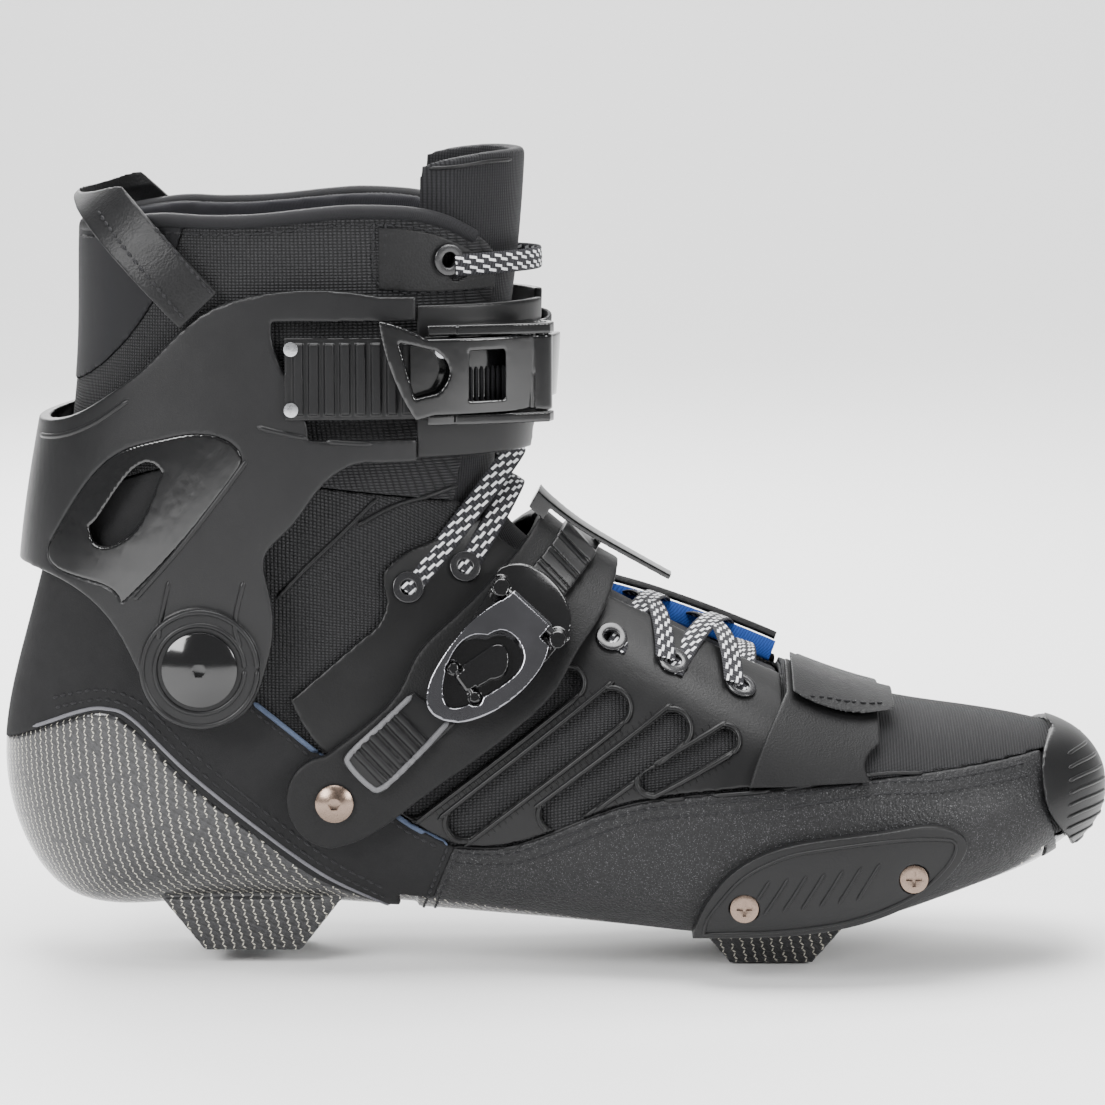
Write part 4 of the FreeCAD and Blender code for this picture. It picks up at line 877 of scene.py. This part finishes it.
# ---- the boot's lower
@dataclass
class Shell:
    """Carbon shell, footbed, mounts and the leather around them."""

    carbon_edge: tuple = (
        (-212, 70.6), (-198, 76.4), (-190, 77.6), (-182.4, 74.6), (-167.0, 59.4), (-144.6, 41.0),
        (-128.4, 28.3), (-113, 18.8), (-108, 12))
    rand_edge: tuple = (
        (-91.2, 38.1), (-73.8, 38.8), (-44.9, 50.5), (-25.5, 54.5), (-2.0, 56.8), (27, 60), (44, 59.8),
        (59, 61), (73, 62.3))
    heel_edge: tuple = ((-148.0, 79.6), (-130.5, 65.6), (-107.1, 46.8), (-93.2, 38.9))
    seam: tuple = ((-91.6, 37.5), (-94.5, 30.0), (-98.5, 18.0), (-100.4, 8.5))

    def build(self) -> None:
        """Builds every piece."""
        build_each(
            Remoulded("carbon_shell", Look.CARBON, 0.75, 3, keep=0.22),
            Remoulded("footbed", Look.LINING, 0.9, keep=0.2),
            Remoulded("heel_overlay", Look.NUBUCK, 0.55, 3, keep=0.3, swell=0.15),
            Remoulded("leather_rand", Look.RAND, 0.55, 3, keep=0.3, swell=0.15),
            Bevelled("mount_inserts", Look.STEEL, width=0.3))
        self.dress()

    def dress(self) -> None:
        """Seams and piping on the shell's edges."""
        skin = Skin("carbon_shell", "heel_overlay", "leather_rand", "woven_bootie", "toe_vamp")
        heel = ((-204, 74.5), *self.carbon_edge[1:-1])
        for name, path, rows in (("rand_stitches_upper", self.rand_edge, (-1.9,)),
                                 ("rand_stitches_lower", self.rand_edge, (-5.0,)),
                                 ("heel_stitches", heel, (2.6,)),
                                 ("heel_stitches_second", heel, (5.4,)),
                                 ("seam_stitches", self.seam, (-1.6, 1.6)),
                                 ("heel_front_stitches", self.heel_edge, (-2.0,))):
            Seam(name, path, rows=rows, sides=BOTH).build(skin)
        for name, path, radius, lift, look, slot in (
                ("carbon_rim", self.carbon_edge, 0.55, 0.1, Look.GREY_THREAD, "carbon"),
                ("rand_rim", self.rand_edge, 0.6, 0.25, Look.SMOOTH, "leather"),
                ("heel_piping", self.heel_edge, 0.75, 0.2, Look.PIPING, "leather")):
            rims = [skin.drape(path, side) for side in BOTH]
            finish_piece(tubes(name, rims, radius, lift), look, "boot")


@dataclass
class Upper:
    """Woven bootie, vamp, eyestays, tongue and the soft shaft."""

    rim_line: tuple = (
        (-205, 213.4), (-190, 214.6), (-173, 216.6), (-160, 216.2), (-145.5, 216.6), (-128, 218.4),
        (-117.7, 219.0), (-103, 218.2), (-93, 215.6), (-84, 210.6))
    mesh_line: tuple = ((-141.4, 109.4), (-132, 119), (-122, 128.5), (-113, 137.5))
    trim_line: tuple = (
        (-118.4, 130), (-108.5, 135), (-97, 138), (-85, 142), (-82.6, 146))
    patch: tuple = (
        (-112, 216), (-112, 201), (-106, 197.6), (-96, 197.4), (-84, 197.8), (-76, 198.2))

    def build(self) -> None:
        """Builds every piece."""
        build_each(
            Remoulded("woven_bootie", Look.MESH, 0.8, 4, keep=0.28),
            Remoulded("toe_vamp", Look.FINE_MESH, 0.6, 4, keep=0.5),
            Remoulded("ankle_padding", Look.LINING, 0.9, keep=0.2, padded=0.8),
            Remoulded("tongue", Look.KNIT, 0.8, 10, keep=0.6, padded=0.7, blended=True),
            Remoulded("collar_lining", Look.LINING, 0.9, 12, keep=0.4, padded=0.8, blended=True),
            Remoulded("shaft_wall", Look.SHAFT_MESH, 0.7, 4, keep=0.5, blended=True),
            Remoulded("rear_collar", Look.NEOPRENE, 0.7, 6, keep=0.6, blended=True))
        for side in ("lateral", "medial"):
            Remoulded("eyestay_" + side, Look.TPU, voxel=0.5, rounds=3, keep=0.4).build()
        self.windows()
        self.trims()

    def windows(self) -> None:
        """Raised, ribbed frames round the eyestay's windows."""
        slots = (((-58.8, 85.5), (-103.0, 50.5), 3.6), ((-46.5, 79.0), (-88.5, 45.5), 4.4),
                 ((-29.5, 73.5), (-62.0, 48.5), 4.4), ((-14.5, 70.5), (-35.5, 58.8), 3.0))
        skin = Skin("eyestay_lateral", "eyestay_medial")
        rings, ribs = [], []
        pitch = 2.1
        for side in BOTH:
            for start, end, radius in slots:
                a, b = Vector(start), Vector(end)
                along = (b - a).normalized()
                across = Vector((-along.y, along.x))
                loop = []
                reach = radius + 1.0
                for centre, turned in ((a, 0.5), (b, -0.5)):
                    for k in range(9):
                        angle = math.pi * (turned + k / 8)
                        loop.append(centre + along * math.cos(angle) * reach
                                    + across * math.sin(angle) * reach)
                loop.append(loop[0])
                rings += skin.trace(loop, (side,), 0.7)
                for k in range(1, int((b - a).length / pitch)):
                    for way in (-1, 1):
                        foot = a + along * (k * pitch) + across * way * (radius + 1.3)
                        tip = foot + across * way * 1.7
                        pair = [skin.at(p.x, p.y, side) for p in (foot, tip)]
                        if all(pair) and (pair[0][0] - pair[1][0]).length < 3 * MM:
                            ribs.append(pair)
        finish_piece(tubes("eyestay_window_rims", rings, 0.75, 0.2), Look.TPU, "boot")
        finish_piece(tubes("eyestay_ribs", ribs, 0.5, 0.05, 6), Look.TPU, "boot")

    def trims(self) -> None:
        """Bindings, seams and patches of the shaft and tongue."""
        shaft = Skin("shaft_wall", "rear_collar", "woven_bootie")
        binding = tubes("collar_binding", shaft.trace(self.rim_line), 2.1, -0.8, 12)
        finish_piece(binding, Look.NEOPRENE, "cuff")
        Seam("collar_stitches", self.rim_line[:-1], body="cuff", rows=(-3.4,), sides=BOTH).build(shaft)
        Seam("patch_stitches", self.patch, body="cuff", rows=(2.0, -1.2), sides=BOTH).build(shaft)
        top = [(-112, 214.6), (-103, 213.8), (-94, 211.4), (-85, 206.6), (-79.5, 202.6)]
        foot = [(-112, 197.4), (-104, 196.6), (-95, 196.3), (-86, 196.4), (-78, 196.8)]
        for side, name in ((LATERAL, "lateral"), (MEDIAL, "medial")):
            piece = laid_sheet("eyelet_patch_" + name, top, foot, shaft, side, 0.15, 0.7, (-90.3, 202.0, 2.6))
            finish_piece(piece, Look.SMOOTH, "cuff")
        for name, line in (("mesh_trim", self.mesh_line), ("ankle_trim", self.trim_line)):
            finish_piece(tubes(name, shaft.trace(line), 0.8, 0.1), Look.SMOOTH, "boot")
        path = [(-98, 230.5), (-90, 231), (-82, 232), (-75, 232.2)]
        laid = Skin("tongue").trace(path, (LATERAL,))
        finish_piece(tubes("tongue_piping", laid, 0.6, 0.1), Look.SMOOTH, "cuff")


@dataclass
class Lacing:
    """Eyelets, flat laces and the lining that shows between them."""

    low: tuple = ((-45.6, 98.5), (-27.6, 92.1), (-8.2, 85.0))
    high: tuple = ((-103.3, 110.2), (-86.9, 116.7), (-90.3, 202.0))
    tops: tuple = ((-73.5, 149.0), (-74.0, 139.5), (-66.8, 203.5))
    width: float = 6.2

    def build(self) -> None:
        """Builds every piece."""
        Bevelled("lace_eyelets", Look.BLACK_METAL, width=0.3, segments=3).build()
        seat = Skin("eyestay_lateral", "eyestay_medial", "shaft_wall")
        first = self.run("lace_first", seat, self.low[2], self.low[2], LATERAL, 8.5, 2.2)
        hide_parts("laces")
        for row in (2, 1):
            for side, lift in ((LATERAL, 2.4), (MEDIAL, 4.0)):
                start = (self.low[row][0] - 3.4, self.low[row][1] + 1.6)
                self.run(f"lace_{row}_{'in' if side < 0 else 'out'}", seat, start, self.low[row - 1],
                         side, 9.0 + lift, lift)
        edge = [(-50.0, 104.6), (-36.0, 100.6), (-20.0, 95.0), (-4.0, 88.6), (1.5, 86.2)]
        for name, depth, look in (("blue_lining", 13.0, Look.BLUE), ("lining_binding", 17.5, Look.SMOOTH)):
            line = [(Vector((x * MM, depth * MM, z * MM)), Vector((0.1, -0.8, 0.6)).normalized())
                    for x, z in smooth_path(edge, 1.0)]
            width, thick = (7.0, 1.6) if name == "blue_lining" else (2.2, 2.0)
            band = ribbon(name, [(p + Vector((0.3, 0, 0.95)) * ((depth - 13.0) * 0.9 * MM), n)
                                 for p, n in line], width, thick)
            finish_piece(band, look, "boot")
        for eye, top, name in zip(self.high, self.tops, ("ankle", "instep", "shaft")):
            body = "cuff" if name == "shaft" else "boot"
            self.run("lace_" + name, seat, eye, eye, LATERAL, None, 1.6, top, body)

    def eyelet(self, seat: Skin, x: float, z: float, side: int) -> tuple[Vector, Vector]:
        """The middle and outward direction of the eyelet nearest to a place.

        Args:
            seat: what the eyelets sit in.
            x: place along the boot, in millimetres.
            z: height, in millimetres.
            side: -1 for the lateral side, 1 for the medial one.

        Returns:
            The point, moved as far from the eyelet's middle as the place is, and the direction.
        """
        ring = [v.co for v in frame["nodes"]["lace_eyelets"].data.vertices
                if v.co.y * side > 0 and math.hypot(v.co.x / MM - x, v.co.z / MM - z) < 8.0]
        middle = sum(ring, Vector()) / len(ring)
        _, normal = seat.nearest(middle)
        if normal.y * side < 0:
            normal = -normal
        shift = Vector((x * MM - middle.x, 0, z * MM - middle.z))
        return middle + (shift if shift.length > 2.5 * MM else Vector()), normal

    def run(self, name: str, seat: Skin, start: tuple, end: tuple, side: int, rise: float | None,
            lift: float, top: tuple = (), body: str = "boot") -> bpy.types.Object:
        """One lace run across the boot.

        Args:
            name: the piece's name.
            seat: what the eyelets sit in.
            start: x and z of the first eyelet, in millimetres.
            end: x and z of the second, on the other side.
            side: the side of the first.
            rise: how far its middle bows out, in millimetres.
            lift: how far the ends stand off the eyelets.
            top: x and z of its middle, where it isn't given by the rise.
            body: the body it rides on.

        Returns:
            The piece.
        """
        ends = []
        for (x, z), way in ((start, side), (end, -side)):
            point, normal = self.eyelet(seat, x, z, way)
            ends.append(point + normal * (lift * MM))
        middle = (ends[0] + ends[1]) / 2
        crown = Vector((top[0] * MM, 0, top[1] * MM)) if top else middle + UP_TONGUE * (rise * MM)
        out = (crown - middle).normalized()
        height = (crown - middle).length
        line = []
        for k in range(49):
            t = k / 48
            bow = 1 - abs(2 * t - 1) ** 2.2
            point = ends[0].lerp(ends[1], t) + out * height * bow
            across = (ends[0] - ends[1]).normalized() * (1 - 2 * t)
            normal = (out * (0.35 + 0.65 * bow) + across * (1 - bow) * 0.9).normalized()
            line.append((point, normal))
        piece = ribbon(name, line, self.width, 1.1)
        return finish_piece(piece, Look.LACE, body)


# ---- the cuff
@dataclass
class Cuff:
    """Cuff, its inlays, ladder strap, buckle and pull loop."""

    def build(self) -> None:
        """Builds every piece."""
        build_each(
            Remoulded("cuff_shell", Look.CUFF, 0.5, 4, keep=0.25),
            Remoulded("cuff_panels", Look.GLOSS, 0.35, 4, keep=0.5),
            Remoulded("cuff_shields", Look.SOFT, 0.5, 5, keep=0.5),
            Remoulded("cuff_ladder", Look.LADDER, 0.3, 2, keep=0.4),
            Remoulded("cuff_strap", Look.WEBBING, 0.35, 2, keep=0.5),
            Remoulded("cuff_buckle_base", Look.GLOSS, 0.35, 3, keep=0.5),
            Bevelled("cuff_buckle_pin", Look.BLACK_METAL, width=0.2),
            Bevelled("cuff_rivets", Look.STEEL, width=0.25, segments=3),
            Remoulded("cuff_lever", Look.GLOSS, 0.35, 5, keep=0.6),
            Remoulded("ankle_bosses", Look.CUFF, 0.5),
            Bevelled("pivot_bolts", Look.STEEL, width=0.2),
            Bevelled("pivot_caps", Look.GLOSS, width=0.5, segments=3),
            Bevelled("pivot_nuts", Look.STEEL, width=0.2),
            Remoulded("pull_loop", Look.SMOOTH, 0.4, 5, keep=0.6))
        self.dress()

    def dress(self) -> None:
        """Stitches on the loop, creases on the cuff and the webbing in the lever's window."""
        loop = [(-186.5, 222), (-179, 213), (-169, 201.5), (-161.5, 192.8)]
        Seam("pull_loop_stitches", loop, body="cuff", rows=(-5.2, 5.2), pitch=2.1, length=1.4,
             slot="smooth_leather").build(Skin("pull_loop"))
        shell = Skin("cuff_shell", "cuff_shields")
        creases = [[(-146, 159.6), (-138, 157.6), (-126, 155.4), (-113, 154.4)],
                   [(-148.5, 150.5), (-157, 139), (-168, 125), (-181, 110)],
                   [(-150.0, 116), (-152.5, 104.5), (-151, 97)],
                   [(-171, 116), (-173.5, 104.5), (-174, 99)],
                   [(-216, 153.5), (-204, 154.6), (-193, 159), (-182, 166.5)]]
        lines = [part for path in creases for part in shell.trace(path)]
        angles = [k * math.tau / 48 for k in range(49)]
        for radius in (12.6, 16.2):
            ring = [(-162.5 + radius * math.cos(a), 91.0 + radius * math.sin(a)) for a in angles]
            lines += shell.trace(ring, gap=2.5)
        finish_piece(tubes("cuff_creases", lines, 0.9, -0.35), Look.CUFF, "cuff")
        plate = Skin("cuff_buckle_base")
        ribs = []
        for x in (-86.2 + 1.5 * k for k in range(9)):
            ribs += plate.trace([(x, 164.5), (x, 176.0)], (LATERAL,))
        finish_piece(tubes("window_webbing", ribs, 0.62, 0.2), Look.WEBBING, "cuff")


@dataclass
class Straps:
    """Instep strap and buckle, and the toe strap."""

    def build(self) -> None:
        """Builds every piece."""
        build_each(
            Remoulded("instep_strap", Look.STRAP, 0.5, 10, keep=0.6, padded=0.7),
            Remoulded("instep_strap_inner", Look.STRAP, 0.5, 10, keep=0.4, padded=0.7),
            Remoulded("instep_tail", Look.LADDER, 0.35, 3, keep=0.6),
            Remoulded("instep_ladder", Look.LADDER, 0.28, 2, keep=0.4),
            Remoulded("instep_buckle_frame", Look.GLOSS, 0.35, 3, keep=0.6),
            Bevelled("instep_pins", Look.BLACK_METAL, width=0.2),
            Remoulded("instep_keeper", Look.GLOSS, 0.3, 3, keep=0.6),
            Remoulded("instep_lever", Look.CHROME_BLACK, 0.24, 14, keep=0.5),
            Remoulded("instep_catch", Look.GLOSS, 0.3, 5, keep=0.6))
        tail = Skin("instep_tail")
        rim = [(-103.0, 83.0), (-112.0, 74.5), (-120.3, 66.6), (-120.6, 63.4), (-115.0, 57.4), (-111.2, 57.0),
               (-101.5, 66.2), (-91.8, 76.6)]
        rim = tubes("tail_rim", tail.trace(rim, (LATERAL,), 0.7), 0.8, 0.1)
        finish_piece(rim, Look.GREY_RIM, "instep_strap")
        build_each(
            Bevelled("instep_strap_screw", Look.BRONZE, width=0.3, segments=3),
            Bevelled("instep_strap_nut", Look.STEEL, width=0.2),
            Remoulded("toe_strap", Look.VELVET, 0.4, 4, keep=0.6),
            Remoulded("toe_strap_base", Look.STRAP, 0.4, 3, keep=0.6),
            Remoulded("toe_strap_tab", Look.SMOOTH, 0.35, 3, keep=0.6))
        path = [(10.0, 81.0), (14, 80.4), (20, 79.0), (27, 77.8), (31.5, 77.4)]
        Seam("tab_stitches", path, body="toe_tab", slot="smooth_leather").build(Skin("toe_strap_tab"))


@dataclass
class Toe:
    """Rubber toe cap and the plastic slider on the lateral side."""

    def build(self) -> None:
        """Builds every piece."""
        build_each(
            Remoulded("toe_cap", Look.RUBBER, 0.5, 4, keep=0.5),
            Remoulded("side_slider", Look.SLIDER, 0.35, 3, keep=0.4),
            Bevelled("slider_screws", Look.BRONZE, width=0.1))
        skin = Skin("toe_cap")
        lines = []
        for k in range(9):
            z = 34.0 + 3.4 * k
            path = [(84 + 0.15 * k, z), (89, z + 0.8), (94, z + 1.1), (98, z + 1.0)]
            lines += skin.trace(path, step=0.6)
        finish_piece(tubes("toe_cap_ridges", lines, 0.6, -0.1), Look.RUBBER, "boot")
        slider = Skin("side_slider")
        rim = [(-20.5, 14.6), (-18.8, 21.2), (-10.6, 32.0), (0.4, 38.4), (12.4, 41.0), (33.3, 43.0),
               (47.4, 42.6), (50.6, 40.4), (47.9, 34.6), (38.6, 26.6), (23.6, 20.3), (5.8, 17.0),
               (-11.0, 15.4), (-20.5, 14.6)]
        grooves = [[(-14 + 5.2 * k, 20.5 + 0.8 * k), (-7.5 + 5.2 * k, 31.5 + 0.75 * k)] for k in range(1, 8)]
        lines = [part for path in (rim, *grooves) for part in slider.trace(path, (LATERAL,), 0.7)]
        finish_piece(tubes("slider_relief", lines, 0.55), Look.SLIDER, "boot")


# ---- floor, lights and camera
def facing(place: Vector, target: Vector) -> Euler:
    """The rotation that turns a lamp or camera towards a point."""
    return (target - place).to_track_quat("-Z", "Y").to_euler()


@dataclass
class Studio:
    """Pale floor, large soft lights and a long lens."""

    target: tuple = (-0.0633, 0.0, 0.1174)
    distance: float = 1.45
    elevation: float = 8.0
    lens: float = 162.9
    ambient: float = 0.32

    def build(self) -> None:
        """Sets the floor, lights, world and camera."""
        low = CAD_BOX[0][2] - 0.6 * MM
        rows = [(-6.0, low), (2.0, low)]
        rows += [(2.0 + 1.2 * math.sin(k * math.pi / 24), low + 1.2 - 1.2 * math.cos(k * math.pi / 24))
                 for k in range(1, 13)]
        rows.append((3.2, 6.0))
        points = [(x, y, z) for y, z in rows for x in (-8.0, 8.0)]
        faces = [(2 * k, 2 * k + 1, 2 * k + 3, 2 * k + 2) for k in range(len(rows) - 1)]
        floor = new_mesh("floor", points, faces)
        floor.data.materials.append(Look.PAPER.value.material())
        smooth(floor, 60.0)
        lights = [self.light("key_light", (-0.85, -0.9, 0.7), 0.6, 20.0),
                  self.light("side_light", (0.95, -0.75, 0.55), 0.5, 13.0),
                  self.light("top_light", (-0.05, -0.1, 1.2), 0.8, 26.0),
                  self.light("rim_light", (-0.4, 1.0, 0.8), 0.6, 14.0),
                  self.light("sweep_light", (0.0, 1.3, 2.2), 1.8, 90.0, (0.0, 2.9, 0.0))]
        world = bpy.data.worlds.new("studio")
        bpy.context.scene.world = world
        world.use_nodes = True
        background = world.node_tree.nodes["Background"]
        background.inputs["Color"].default_value = (1.0, 1.0, 1.0, 1.0)
        background.inputs["Strength"].default_value = self.ambient
        self.camera()

    def light(self, name: str, place: tuple, size: float, power: float,
              aim: tuple = ()) -> bpy.types.Object:
        """A square area light that faces the boot, or another place."""
        bpy.ops.object.light_add(type="AREA", location=place)
        lamp = bpy.context.active_object
        lamp.name = name
        lamp.data.size = size
        lamp.data.energy = power
        lamp.rotation_euler = facing(Vector(place), Vector(aim or self.target))
        return lamp

    def camera(self) -> None:
        """A camera that sees the lateral side almost level."""
        tilt = math.radians(self.elevation)
        place = Vector(self.target) + Vector((0, -math.cos(tilt), math.sin(tilt))) * self.distance
        bpy.ops.object.camera_add(location=place)
        camera = bpy.context.active_object
        camera.name = "camera"
        camera.data.lens = self.lens
        camera.data.sensor_width = 36.0
        camera.rotation_euler = facing(place, Vector(self.target))
        bpy.context.scene.camera = camera


def main() -> None:
    """Builds the whole boot and its studio."""
    logging.basicConfig(level=logging.INFO, format="%(name)s %(message)s")
    for group in (Shell, Upper, Lacing, Cuff, Straps, Toe, Studio):
        group().build()


if __name__ == "__main__":
    main()
